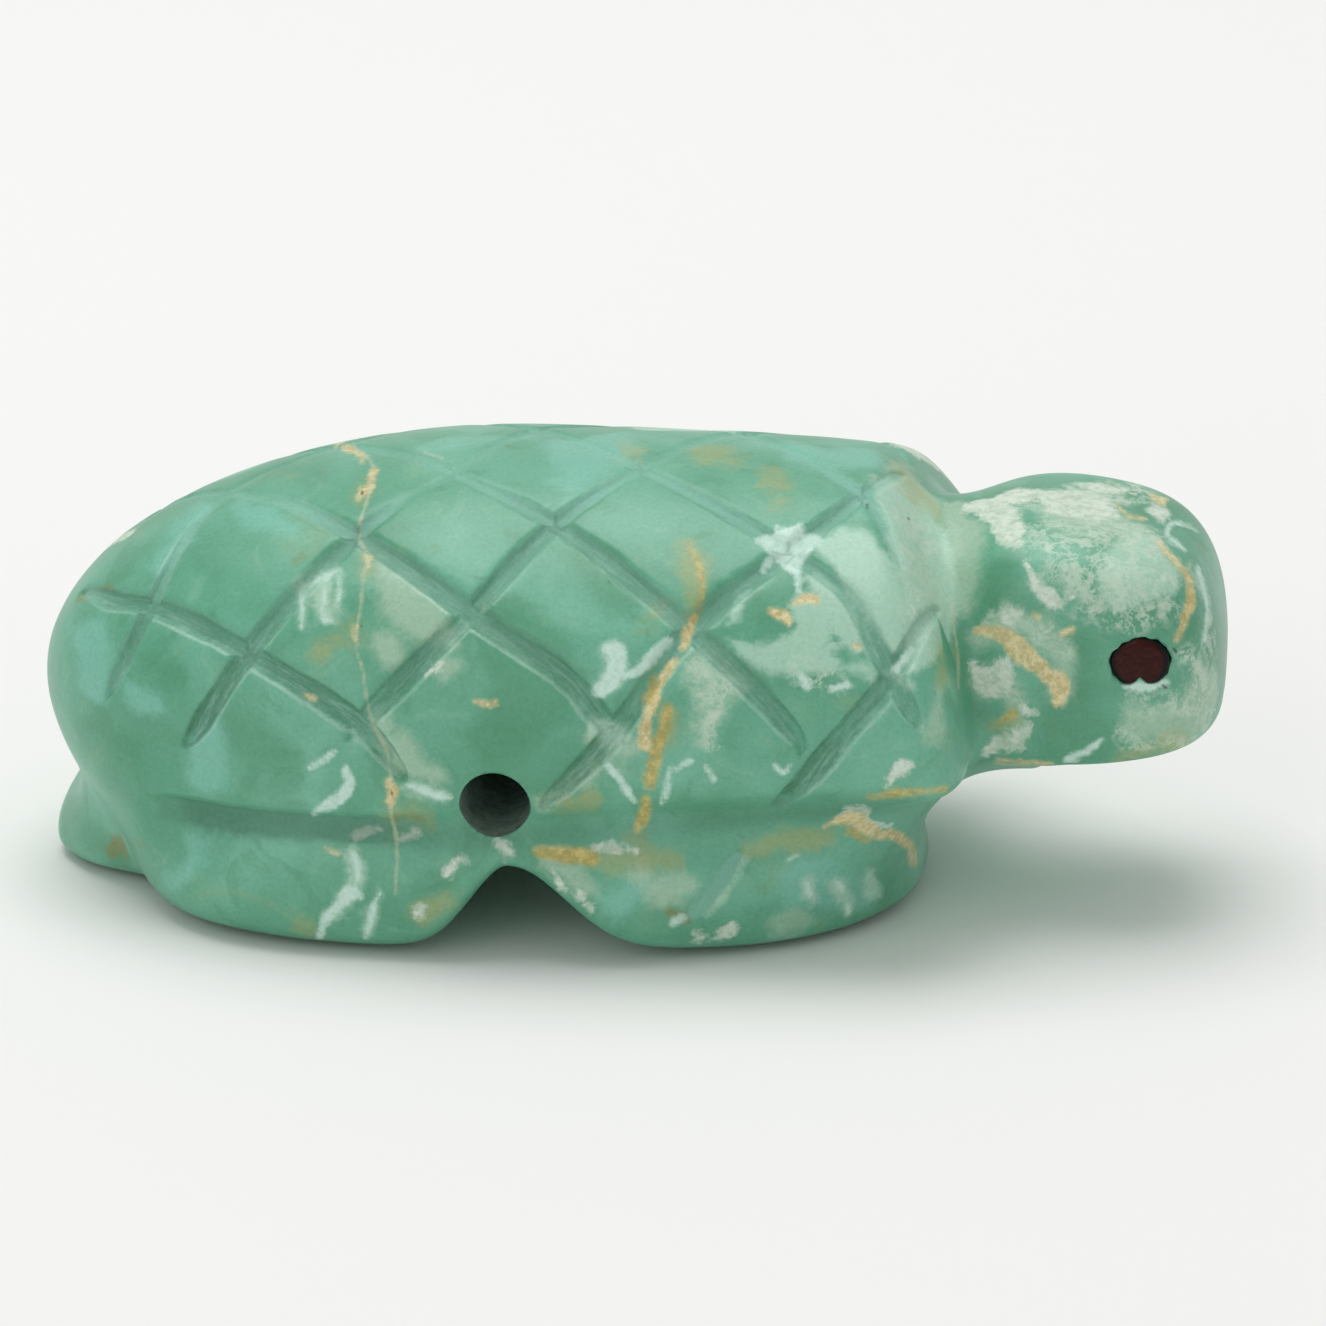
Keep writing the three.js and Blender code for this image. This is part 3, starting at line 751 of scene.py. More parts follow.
TAN = [
    [(978, 630, 4), (998, 634, 6), (1012, 640, 10), (1022, 652, 12), (1036, 664, 8), (1046, 676, 7),
     (1058, 682, 10), (1060, 692, 9), (1057, 702, 5)],
    [(1034, 614, 2), (1040, 618, 2)],
    [(1062, 634, 4), (1071, 629, 4)],
    [(773, 613, 4), (782, 613, 5), (788, 620, 5)],
    [(796, 603, 3), (808, 599, 4), (817, 600, 3)],
    [(855, 644, 3), (861, 646, 3)],
    [(694, 616, 3), (688, 630, 5), (683, 646, 4)],
    [(676, 662, 4), (660, 684, 5), (648, 712, 6), (644, 744, 7)],
    [(371, 487, 2.5), (362, 491, 3), (358, 498, 1.5)],
    [(374, 470, 4), (372, 484, 4)],
    [(345, 447, 3), (353, 451, 4), (361, 458, 3)],
    [(369, 558, 1.5), (368, 566, 2)],
    [(358, 624, 2), (356, 633, 3), (358, 642, 1.5)],
    [(388, 779, 4), (393, 790, 7), (392, 804, 4)],
    [(1116, 504, 1.5), (1128, 514, 2), (1142, 518, 2.5)],
    [(1152, 498, 3), (1162, 502, 4)],
    [(824, 825, 2), (838, 822, 4), (853, 820, 9), (868, 829, 8), (882, 836, 5)],
    [(880, 834, 4), (896, 834, 5), (909, 846, 5), (914, 861, 4)],
    [(1159, 542, 2), (1170, 556, 3), (1182, 567, 3), (1191, 582, 4), (1190, 602, 4), (1186, 618, 4),
     (1178, 640, 3)],
    [(996, 761, 1.5), (1050, 763, 2)],
    [(476, 701, 1), (486, 702, 2), (499, 702, 1)],
    [(324, 850, 1.3), (338, 852, 1.5)],
    [(304, 694, 2), (315, 698, 2.5)],
]
OCHRE = [
    [(690, 546, 1.5), (698, 562, 2), (703, 584, 3), (699, 606, 1.5), (692, 628, 1.5)],
    [(655, 680, 5), (648, 700, 5)],
    [(666, 708, 4), (662, 730, 6), (655, 760, 7), (652, 782, 6)],
    [(646, 800, 5), (641, 816, 5), (636, 828, 3)],
    [(537, 852, 4), (548, 852, 6), (566, 855, 9), (582, 855, 9), (593, 857, 7)],
    [(848, 832, 3), (866, 840, 3)],
    [(868, 796, 1), (892, 793, 4), (910, 792, 4), (944, 790, 1.5)],
    [(1190, 590, 1.5), (1187, 618, 2)],
    [(1004, 718, 4), (1013, 714, 4)],
]
CRACK = [
    [(352, 444, 1), (372, 464, 1.5), (371, 485, 1.5), (364, 510, 1.5), (358, 535, 1.8), (368, 556, 1.5),
     (364, 574, 1.5), (361, 600, 1.5), (359, 622, 1.5), (358, 650, 1.5), (365, 678, 1.5), (368, 702, 1.5),
     (374, 724, 1.8), (384, 744, 2), (389, 766, 1.5), (391, 808, 1.5), (394, 826, 1.5), (397, 848, 1.5),
     (396, 892, 1)],
    [(424, 452, 1), (440, 460, 1)],
    [(951, 600, 0.8), (955, 640, 1.4), (959, 690, 1)],
]
PIT = [
    [(391, 791, 1.6), (392, 794, 1.6)],
    [(362, 624, 1), (362, 627, 1)],
    [(362, 491, 1), (362, 494, 1)],
    [(686, 922, 1.2), (687, 923, 1.2)],
    [(668, 611, 1), (669, 612, 1)],
    [(908, 518, 1), (909, 519, 1)],
    [(867, 505, 1.2), (868, 508, 1.2)],
    [(1173, 648, 1), (1176, 652, 1.5)],
    [(1163, 685, 1), (1166, 688, 1)],
]
SHOWN = {"deep_and_shade": DEEP_AND_SHADE, "bluish": BLUISH, "haze": HAZE, "mint": MINT, "olive": OLIVE, "rust": RUST,
         "cream": CREAM, "lace_and_painted_light": LACE_AND_PAINTED_LIGHT, "white": WHITE, "tan": TAN, "ochre": OCHRE, "crack": CRACK, "pit": PIT}

# %% Marks that it doesn't show, on the left side and below, as lists of (x, angle, half width in mm)
FAR = {
    "deep_and_shade": [[(-2.0, 190, 0.6), (-4.0, 186, 0.7)], [(4.0, 140, 0.5), (3.0, 132, 0.5)],
             [(-9.0, 130, 0.8), (-7.0, 120, 0.8)]],
    "bluish": [[(-12.0, 120, 0.6), (-11.0, 112, 0.6)], [(2.0, 200, 0.5), (4.0, 204, 0.5)]],
    "haze": [[(-8.0, 128, 0.5), (-6.8, 120, 0.6)], [(7.0, 150, 0.5), (8.0, 160, 0.6)]],
    "mint": [[(-7.0, 150, 0.6), (-5.0, 158, 0.8)], [(3.0, 160, 0.6), (4.5, 172, 0.8)],
             [(0.0, 112, 0.5), (2.0, 118, 0.5)]],
    "olive": [[(1.2, 126, 0.4), (1.8, 144, 0.4)]],
    "rust": [[(-6.2, 190, 0.15), (-5.2, 191, 0.12)]],
    "cream": [[(7.0, 120, 0.5), (7.6, 135, 0.6)], [(-14.0, 95, 0.3), (-14.6, 110, 0.3)],
              [(4.8, 200, 0.2), (5.4, 206, 0.25)]],
    "lace_and_painted_light": [[(5.5, 150, 0.5), (6.8, 158, 0.6)], [(12.0, 150, 0.9), (13.5, 140, 1.0)],
             [(11.5, 90, 0.8), (13.0, 110, 0.8)]],
    "white": [[(-9.0, 160, 0.2), (-8.2, 166, 0.15)], [(-1.0, 176, 0.15), (0.2, 171, 0.15)],
              [(5.2, 160, 0.2), (4.6, 152, 0.15)], [(-4.8, 139, 0.15), (-3.9, 134, 0.15)],
              [(-7.5, 195, 0.15), (-7.0, 204, 0.2)]],
    "tan": [[(-8.8, 100, 0.05), (-8.4, 112, 0.08), (-9.1, 128, 0.06), (-8.7, 150, 0.05)],
            [(12.6, 180, 0.15), (13.2, 176, 0.12)]],
    "ochre": [[(1.5, 118, 0.08), (1.2, 130, 0.12), (1.9, 141, 0.1), (1.5, 155, 0.1)],
              [(-6.6, 184, 0.15), (-4.9, 186, 0.12)], [(5.0, 196, 0.1), (6.6, 190, 0.12)]],
    "crack": [[(-8.8, 100, 0.03), (-8.4, 112, 0.04), (-9.1, 128, 0.04), (-8.7, 150, 0.04), (-8.9, 182, 0.03)]],
    "pit": [[(-9.1, 128, 0.03), (-9.1, 128.5, 0.03)]],
}


# %% Strokes on the stone, bent by a noise
BEND = {"deep_and_shade": 0.18, "bluish": 0.18, "haze": 0.18, "mint": 0.08, "olive": 0.18, "rust": 0.12, "cream": 0.1,
        "lace_and_painted_light": 0.2, "white": 0.06, "tan": 0.07, "ochre": 0.06, "crack": 0.05, "pit": 0.0}
THINNEST_PX = 1.3
LEAST_TURNED, WELL_TURNED, TURN_NOISE, CLOSING_MM = 0.05, 0.34, 0.09, 1.5
VEINS = ("tan", "ochre", "crack")


def on_picture(pixels):
    """Pixels as places in mm in the picture plane through the point that the camera looks at."""
    px = np.asarray(pixels, float)
    side = PHOTO_SIDE / 2.0
    return np.stack([px[:, 0] - side, side - px[:, 1], 0.0 * px[:, 0]], -1) / PX_PER_MM


def seen(points):
    """Points of the stone as places in that plane: their offsets along RIGHT and UP, times
    distance / (distance - offset towards the camera)."""
    off = points - LOOK_MM
    scale = DISTANCE / (DISTANCE - off @ BACK)
    return np.stack([off @ RIGHT * scale, off @ UP * scale, 0.0 * scale], -1)


shown_strokes, far_strokes = {}, {}
for name, shown in SHOWN.items():
    smooth = [smooth_knots(pixels, 4) for pixels in shown]
    shown_strokes[name] = [(on_picture(k), np.maximum(k[:, 2], THINNEST_PX) / PX_PER_MM) for k in smooth]
    smooth = [smooth_knots(knots, 4) for knots in FAR[name]]
    far_strokes[name] = [(at_angles(k), np.maximum(k[:, 2], 0.03)) for k in smooth]
    print(name, len(shown_strokes[name]), "strokes seen,", len(far_strokes[name]), "on the far side")


def growth(points):
    """For each point a random shift, the sum of two noises, by which the strokes are bent."""
    return np.stack([lumps(points, 0.9, 41 + axis) + 0.5 * lumps(points, 0.4, 44 + axis)
                     for axis in range(3)], -1)


def lowest(field, points, strokes, most):
    """The field, lowered to the distance in mm from the edge of the nearest of these strokes."""
    for line, width in strokes:
        own = near(points, line, most + width.max())
        if len(own):
            field[own] = np.minimum(field[own], nearest_on_line(points[own], line, width)[0])
    return field


def stroke_field(points, normals, shift, name, most):
    """How far each point is outside the strokes of a kind, negative inside them, at most so much.

    The strokes that the photograph shows are measured in its own plane, on what faces the camera,
    so that they keep their outlines where the stone slants away. All but the veins gain up to
    CLOSING_MM * (1 - ease(turned)) there, so that they end raggedly. The others are measured on it."""
    moved = points + BEND[name] * shift
    turned = normals @ BACK + TURN_NOISE * lumps(points, 1.7, 47)
    facing_it = (turned > LEAST_TURNED) & ((points[:, 1] < 0.0) | (points[:, 2] > 7.5))
    field = np.full(len(points), most)
    field[facing_it] = lowest(field[facing_it], seen(moved[facing_it]), shown_strokes[name], most)
    if name not in VEINS:
        field = np.minimum(field + CLOSING_MM * (1.0 - ease(LEAST_TURNED, WELL_TURNED, turned)), most)
    return lowest(field, moved, far_strokes[name], most)


# %% Where the mesh must stay fine
skin_shift = growth(flat_skin)
edge = np.full(len(flat_skin), 0.3)
for name in ("cream", "white", "tan", "ochre", "crack", "pit"):
    edge = np.minimum(edge, np.abs(stroke_field(flat_skin, flat_out, skin_shift, name, 0.3)))
plain = (edge > 0.13).reshape(ROWS, TURNS)
plain = np.flatnonzero(np.concatenate([plain[:1, 0], plain[1:-1].ravel(), plain[-1:, 0]]))
print(ROWS * TURNS - len(plain), "points are kept for the edges of marks")

# %% [markdown]
# ## Drilling, sockets and a lighter mesh
# The hole runs right through, so it can't be pushed into the skin: a Boolean cuts it, as a drill
# does, and so are the two eye sockets. Before that, Decimate thins the mesh where it is smooth and
# leaves the points where the lines are, and along the edges of the marks. The result is kept as a
# plain mesh.

# %% Cut the hole and the sockets
EYE_X, EYE_Z, EYE_RADIUS, EYE_FLOOR = 13.8, 7.9, 0.72, 3.1


def dent(angle, at_degrees, width_degrees):
    """A bump of height 1 on a circle, at one angle and of one width: exp(-(difference / width)^2)."""
    off = np.degrees(angle) - at_degrees
    off = (off + 180.0) % 360.0 - 180.0
    return np.exp(-(off / width_degrees) ** 2)


around = np.linspace(0.0, 2.0 * np.pi, 96, endpoint=False)
DRILL_OUTLINE = 1.0 + 0.010 * np.sin(2.0 * around + 0.6) + 0.006 * np.sin(3.0 * around + 2.0)
EYE_OUTLINES = {
    -1: 1.02 + 0.07 * np.cos(2.0 * around) - 0.10 * dent(around, 135.0, 30.0)
        - 0.36 * dent(around, 272.0, 18.0) + 0.05 * dent(around, 238.0, 20.0),
    1: 1.0 + 0.05 * np.cos(2.0 * around + 0.7) + 0.02 * np.sin(3.0 * around),
}
drill = turned_plug("drill", [[0, -12], [BORE_RADIUS, -12], [BORE_RADIUS, 12], [0, 12]], DRILL_OUTLINE,
                    BORE_X, BORE_Z)
cutters = [drill]
for side, outline in EYE_OUTLINES.items():
    ends = sorted([side * EYE_FLOOR, side * 6.0])
    gap = 0.035 + 0.012 * np.sin(9.0 * around) + 0.012 * np.sin(14.0 * around + 1.0)
    plug = [[0, ends[0]], [EYE_RADIUS, ends[0]], [EYE_RADIUS, ends[1]], [0, ends[1]]]
    cutters.append(turned_plug("socket", plug, outline + gap / EYE_RADIUS, EYE_X, EYE_Z))

thin = blank.modifiers.new("thin", "DECIMATE")
thin.ratio = 190000.0 / (2.0 * len(blank.data.polygons))
blank.vertex_groups.new(name="plain").add(plain.tolist(), 1.0, "ADD")
thin.vertex_group = "plain"
for cutter in cutters:
    cut = blank.modifiers.new("cut", "BOOLEAN")
    cut.operation = "DIFFERENCE"
    cut.solver = "MANIFOLD"
    cut.object = cutter
evaluated = blank.evaluated_get(bpy.context.evaluated_depsgraph_get())
body_mesh = bpy.data.meshes.new_from_object(evaluated)
for used in [blank] + cutters:
    bpy.data.objects.remove(used)
body_mesh.name = "turtle"
turtle = bpy.data.objects.new("turtle", body_mesh)
bpy.context.scene.collection.objects.link(turtle)
body_mesh.shade_smooth()
body_mesh.calc_loop_triangles()
print("turtle has", len(body_mesh.vertices), "points and", len(body_mesh.loop_triangles), "triangles")

# %% The finished mesh as arrays
count = len(body_mesh.vertices)
points = np.empty(count * 3, np.float32)
body_mesh.vertices.foreach_get("co", points)
points = points.reshape(-1, 3).astype(float) / MM


def keep_field(mesh, name, values):
    """Stores one number for each point of the mesh, for a material to read by name."""
    layer = mesh.attributes.new(name, "FLOAT", "POINT")
    layer.data.foreach_set("value", np.asarray(values, np.float32))


# %% What the tools and the growth left, as fields
shift, normals = growth(points), outward(points)
for name in SHOWN:
    values = stroke_field(points, normals, shift, name, 1.5)
    keep_field(body_mesh, name, values)
    print(name, int((values < 0.0).sum()), "points inside")
_, cut_at, upward, along, press = wheel_cuts(points)
keep_field(body_mesh, "cut_at", cut_at)
keep_field(body_mesh, "upward", upward)
keep_field(body_mesh, "along", along)
keep_field(body_mesh, "press", press)
flank = ease(4.5, 6.0, np.abs(points[:, 1]))
# the band under the shell: rough stone, and painted shade under the shell's edge
keep_field(body_mesh, "rough_band_and_shade", flank * unpolished_band_and_shade(points[:, 0], points[:, 2]))

# %% [markdown]
# ## Two finishes of one stone
# The outside of turquoise takes a waxy polish: index of refraction about 1.61, not clear, so light
# goes hardly into it. The floors of the lines and the wall of the hole were never polished, and
# stay matte and finely scratched: the floors paler, the wall of the hole painted dark as shade.

# %% Node helpers
def linear(hex_code):
    """An sRGB hex colour as the linear colour that a shader takes."""
    c = np.array([int(hex_code[i:i + 2], 16) for i in (1, 3, 5)]) / 255.0
    c = np.where(c <= 0.04045, c / 12.92, ((c + 0.055) / 1.055) ** 2.4)
    return (*c.tolist(), 1.0)


def add(tree, kind, settings=None, links=None, stops=None):
    """Adds one node. settings holds its properties and its sockets' values, links says what each
    input takes, and stops are a colour ramp's [position, hex or number]."""
    node = tree.nodes.new(kind)
    for key, value in (settings or {}).items():
        if isinstance(key, str) and hasattr(node, key):
            setattr(node, key, value)
        else:
            node.inputs[key].default_value = value
    for key, source in (links or {}).items():
        tree.links.new(source, node.inputs[key])
    if stops:
        ramp = node.color_ramp
        while len(ramp.elements) > 1:
            ramp.elements.remove(ramp.elements[-1])
        ramp.elements[0].position = stops[0][0]
        for place, _ in stops[1:]:
            ramp.elements.new(place)
        for element, (_, shade) in zip(ramp.elements, stops):
            element.color = linear(shade) if isinstance(shade, str) else (shade, shade, shade, 1.0)
    return node


MIX_A, MIX_B, MIX_OUT = 6, 7, 2


def mix(tree, factor, below, above, blend="MIX"):
    """One colour over another by a factor; each may be a hex colour, a number or an output."""
    settings = {"data_type": "RGBA", "blend_type": blend}
    links = {}
    for socket, item in ((0, factor), (MIX_A, below), (MIX_B, above)):
        if isinstance(item, str):
            settings[socket] = linear(item)
        elif isinstance(item, (int, float)):
            settings[socket] = item
        else:
            links[socket] = item
    return add(tree, "ShaderNodeMix", settings, links).outputs[MIX_OUT]


def math(tree, operation, a, b=0.0, c=0.0):
    """One sum of up to three numbers or outputs."""
    settings, links = {"operation": operation}, {}
    for socket, item in enumerate((a, b, c)):
        if isinstance(item, (int, float)):
            settings[socket] = item
        else:
            links[socket] = item
    return add(tree, "ShaderNodeMath", settings, links).outputs[0]


def band(tree, value, low, high, at_low=0.0, at_high=1.0):
    """A number turned smoothly from at_low, where value is low, to at_high, where it is high."""
    node = add(tree, "ShaderNodeMapRange",
               {"interpolation_type": "SMOOTHSTEP", 1: low, 2: high, 3: at_low, 4: at_high}, {0: value})
    return node.outputs[0]


# %% Noise by real size
def stone_noise(tree, place, size_mm, detail=3.0, roughness=0.5, distortion=0.0):
    """Noise whose blotches are about size_mm across, from 0 to 1."""
    node = add(tree, "ShaderNodeTexNoise",
               {"Scale": 1.0 / size_mm, "Detail": detail, "Roughness": roughness, "Distortion": distortion},
               {"Vector": place})
    return node.outputs["Fac"]


def field_of(tree, name):
    """The number that the mesh keeps under this name."""
    return add(tree, "ShaderNodeAttribute", {"attribute_name": name}).outputs["Fac"]


def mark(tree, name, fray, amount, soft):
    """1 inside a kind of stroke and 0 outside: the edge is moved in and out by a noise, by amount
    in mm for the whole range of the noise, and fades over soft in mm."""
    moved = math(tree, "MULTIPLY_ADD", math(tree, "SUBTRACT", fray, 0.5), 2.0 * amount, field_of(tree, name))
    return band(tree, moved, -soft, soft, 1.0, 0.0)


def lay(tree, color, name, fray, amount, soft, strength, shade):
    """The colour with one kind of mark laid over it."""
    return mix(tree, math(tree, "MULTIPLY", mark(tree, name, fray, amount, soft), strength), color, shade)


# %% [markdown]
# ### Polished turquoise
# The colour is built as the stone is: broad drifts of deeper and lighter green, chalky clouds
# inside them, a fine grain of darker and lighter specks, and over those the noted veins and marks.
# Some layers also paint light and shade: the deep marks, the upper walls of the cuts, the band
# under the shell and one lace stroke.

# %% Polished green turquoise
turquoise = bpy.data.materials.new("polished_green_turquoise")
turquoise.use_nodes = True
tree = turquoise.node_tree
tree.nodes.clear()
shape = add(tree, "ShaderNodeTexCoord").outputs["Object"]
place = add(tree, "ShaderNodeMapping", {"Scale": (1000.0, 1000.0, 1000.0)}, {0: shape}).outputs[0]

broad = stone_noise(tree, place, 5.5, 2.0, 0.5, 0.8)
color = add(tree, "ShaderNodeValToRGB", None, {0: broad}, [
    [0.30, "#4f9775"], [0.45, "#5ca484"], [0.58, "#67ae90"], [0.72, "#74b99d"]]).outputs[0]
drift = stone_noise(tree, place, 1.6, 4.0, 0.6, 1.2)
color = mix(tree, band(tree, drift, 0.52, 0.72, 0.0, 0.35), color, "#86bfa2")
color = mix(tree, band(tree, drift, 0.46, 0.32, 0.0, 0.4), color, "#4a8f69")
warm = stone_noise(tree, place, 3.4, 4.0, 0.6, 2.0)
color = mix(tree, band(tree, warm, 0.58, 0.72, 0.0, 0.3), color, "#8fae7e")

# soft drifts first, then the frayed clouds and veins
fray = stone_noise(tree, place, 0.7, 6.0, 0.72, 0.4)
fine_fray = stone_noise(tree, place, 0.22, 4.0, 0.7)
# deeper green, partly painted shade in the recesses
color = lay(tree, color, "deep_and_shade", fray, 0.35, 0.3, 0.5, "#4a9069")
color = lay(tree, color, "bluish", fray, 0.35, 0.25, 0.78, "#7cc1ac")
color = lay(tree, color, "haze", fray, 0.5, 0.3, 0.62, "#b3cfb4")
color = lay(tree, color, "mint", fray, 0.34, 0.16, 0.85, "#acd4bd")
color = lay(tree, color, "olive", fray, 0.5, 0.26, 0.58, "#a3aa6c")
color = lay(tree, color, "rust", fray, 0.3, 0.14, 0.8, "#80864c")
net_noise = stone_noise(tree, place, 0.8, 5.0, 0.68, 0.3)
network = band(tree, math(tree, "ABSOLUTE", math(tree, "SUBTRACT", net_noise, 0.5)), 0.01, 0.05, 0.7, 0.0)
curd = stone_noise(tree, place, 0.42, 4.0, 0.62, 0.2)
holes = math(tree, "MULTIPLY", math(tree, "SUBTRACT", fray, 0.5), 0.9)
clouds = band(tree, math(tree, "ADD", holes, curd), 0.46, 0.59)
veil = math(tree, "MAXIMUM", network, clouds)
# chalky lace, with painted light on the shell's front face
lace_and_painted_light = math(tree, "MULTIPLY", mark(tree, "lace_and_painted_light", fray, 0.7, 0.25), math(tree, "MULTIPLY_ADD", veil, 0.74, 0.04))
color = mix(tree, lace_and_painted_light, color, "#c4dac5")
chalk = stone_noise(tree, place, 0.3, 5.0, 0.7)
chalky = mix(tree, band(tree, chalk, 0.35, 0.6), "#bdd2bb", "#dde8da")
color = mix(tree, math(tree, "MULTIPLY", mark(tree, "cream", fray, 0.45, 0.1), 0.88), color, chalky)

# wheel cuts: fine striae run along each floor, the upper wall gets darker green as painted shade, the lower
# side is scratched pale and the lower brim gets a pale line, partly chipped and partly a painted highlight
upward = field_of(tree, "upward")
lane = add(tree, "ShaderNodeCombineXYZ", None, {
    0: math(tree, "MULTIPLY", upward, 4.5),
    1: math(tree, "MULTIPLY", field_of(tree, "along"), 0.9)}).outputs[0]
striae = stone_noise(tree, lane, 1.0, 5.0, 0.7)
press = field_of(tree, "press")
cut_at = math(tree, "MULTIPLY_ADD", math(tree, "SUBTRACT", fine_fray, 0.5), 0.25, field_of(tree, "cut_at"))
hard = band(tree, press, 0.35, 0.8)
floor = math(tree, "MULTIPLY", band(tree, cut_at, 0.72, 1.0, 1.0, 0.0), band(tree, press, 0.0, 0.5))
chipped_brim_and_highlight = math(tree, "MULTIPLY", math(tree, "MULTIPLY", band(tree, cut_at, 0.8, 0.95), band(tree, cut_at, 1.2, 1.05)),
            math(tree, "MULTIPLY", band(tree, upward, -0.2, -0.5), math(tree, "MULTIPLY_ADD", striae, 0.9, 0.1)))
scratched = mix(tree, band(tree, striae, 0.42, 0.72), "#548b70", "#93bbad")
scratched = mix(tree, hard, "#8ac1af", scratched)
height = add(tree, "ShaderNodeSeparateXYZ", None, {0: place}).outputs[2]
scratched = mix(tree, band(tree, height, 6.5, 10.0, 0.0, 0.45), scratched, "#8fbfae")
# painted shade on the upper walls, which face down; less of it near the ridge, where they don't
upper_wall_shade = math(tree, "MULTIPLY", math(tree, "MULTIPLY", band(tree, upward, 0.0, 0.42), hard), floor)
upper_wall_shade = math(tree, "MULTIPLY", upper_wall_shade, band(tree, height, 7.6, 10.2, 1.0, 0.15))
on_pale = math(tree, "MULTIPLY", mark(tree, "mint", fray, 0.34, 0.16), 0.3)
color = mix(tree, math(tree, "MULTIPLY", floor, math(tree, "SUBTRACT", 0.72, on_pale)), color, scratched)
# painted shade: the upper walls darker green
color = mix(tree, math(tree, "MULTIPLY", upper_wall_shade, math(tree, "SUBTRACT", 0.72, on_pale)), color, "#3f7f5c")
# the lower brim's pale line: partly chips, partly a painted highlight where it faces up
color = mix(tree, math(tree, "MULTIPLY", math(tree, "MULTIPLY", chipped_brim_and_highlight, press), 0.5), color, "#bcd8c9")

# the ground line under the shell was never polished, and its colour is painted darker as shade under the shell
unpolished_and_shaded = field_of(tree, "rough_band_and_shade")
color = mix(tree, math(tree, "MULTIPLY", unpolished_and_shaded, 0.6), color, "#4b7763")

# veins run through the stone, so they show in the cuts too
rough_edge = math(tree, "MULTIPLY_ADD", fray, 0.5, math(tree, "MULTIPLY", fine_fray, 0.5))
patchy = band(tree, chalk, 0.3, 0.55, 0.62, 0.92)
color = lay(tree, color, "white", rough_edge, 0.22, 0.08, patchy, "#cae8db")
earthy = mix(tree, band(tree, chalk, 0.4, 0.6), "#d4ba7c", "#e6daa9")
color = lay(tree, color, "tan", rough_edge, 0.24, 0.09, patchy, earthy)
rusty = mix(tree, band(tree, chalk, 0.38, 0.62), "#b09a40", "#cfbe72")
color = lay(tree, color, "ochre", rough_edge, 0.24, 0.12, patchy, rusty)
color = lay(tree, color, "crack", fine_fray, 0.08, 0.05, 0.55, "#c6c9a8")
color = lay(tree, color, "pit", fine_fray, 0.05, 0.03, 0.85, "#2c2a1e")

grain = stone_noise(tree, place, 0.12, 3.0, 0.7)
color = mix(tree, 1.0, color, add(tree, "ShaderNodeValToRGB", None, {0: grain}, [
    [0.28, 0.9], [0.5, 1.0], [0.72, 1.08]]).outputs[0], "MULTIPLY")

matte = math(tree, "MAXIMUM", floor, unpolished_and_shaded)
roughness = band(tree, matte, 0.0, 1.0, 0.36, 0.75)
roughness = math(tree, "ADD", roughness, math(tree, "MULTIPLY", mark(tree, "cream", fray, 0.45, 0.1), 0.14))
relief = math(tree, "MULTIPLY_ADD", math(tree, "MULTIPLY", striae, floor), 0.02,
              math(tree, "MULTIPLY", grain, 0.003))
bump = add(tree, "ShaderNodeBump", {"Strength": 1.0, "Distance": 0.001}, {"Height": relief}).outputs[0]
shader = add(tree, "ShaderNodeBsdfPrincipled", {"IOR": 1.61, "Metallic": 0.0, "Specular IOR Level": 0.4},
             {"Base Color": color, "Roughness": roughness, "Normal": bump})
add(tree, "ShaderNodeOutputMaterial", None, {0: shader.outputs[0]})

# %% Drilled turquoise for the wall of the hole, its colour painted dark as the shade inside the bore
drilled_and_shaded = bpy.data.materials.new("drilled_turquoise_painted_dark")
drilled_and_shaded.use_nodes = True
tree = drilled_and_shaded.node_tree
tree.nodes.clear()
shape = add(tree, "ShaderNodeTexCoord").outputs["Object"]
place = add(tree, "ShaderNodeMapping", {"Scale": (1000.0, 1000.0, 1000.0)}, {0: shape}).outputs[0]
wall_mottle = stone_noise(tree, place, 0.4, 4.0, 0.7)
# dark greens and greys: the shade inside the bore, painted into the colour
color = add(tree, "ShaderNodeValToRGB", None, {0: wall_mottle}, [[0.3, "#3d5247"], [0.6, "#637a6c"], [0.8, "#809080"]])
rings = add(tree, "ShaderNodeTexNoise", {"Scale": 1.0, "Detail": 2.0},
            {"Vector": add(tree, "ShaderNodeMapping", {"Scale": (0.4, 6.0, 0.4)}, {0: place}).outputs[0]})
bump = add(tree, "ShaderNodeBump", {"Strength": 0.6, "Distance": 0.00003}, {"Height": rings.outputs[0]}).outputs[0]
shader = add(tree, "ShaderNodeBsdfPrincipled", {"Roughness": 0.85, "IOR": 1.61},
             {"Base Color": color.outputs[0], "Normal": bump})
add(tree, "ShaderNodeOutputMaterial", None, {0: shader.outputs[0]})

# %% The body takes both finishes
body_mesh.materials.clear()
body_mesh.materials.append(turquoise)
body_mesh.materials.append(drilled_and_shaded)
centres = np.empty(len(body_mesh.polygons) * 3, np.float32)
body_mesh.polygons.foreach_get("center", centres)
centres = centres.reshape(-1, 3).astype(float) / MM
facing_out = np.empty(len(body_mesh.polygons) * 3, np.float32)
body_mesh.polygons.foreach_get("normal", facing_out)
in_bore = np.hypot(centres[:, 0] - BORE_X, centres[:, 2] - BORE_Z) < BORE_RADIUS + 0.03
in_bore &= np.abs(facing_out.reshape(-1, 3)[:, 1]) < 0.5
body_mesh.polygons.foreach_set("material_index", in_bore.astype(np.int32))
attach(turtle, "root")
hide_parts("turtle_body")
print(int(in_bore.sum()), "faces in the hole")

# %% [markdown]
# ## The inlaid eyes
# Each eye is a short rod of dark red-brown stone or shell, glued into its socket and ground flush,
# so its face is only slightly domed and its rim shows a black line of glue.

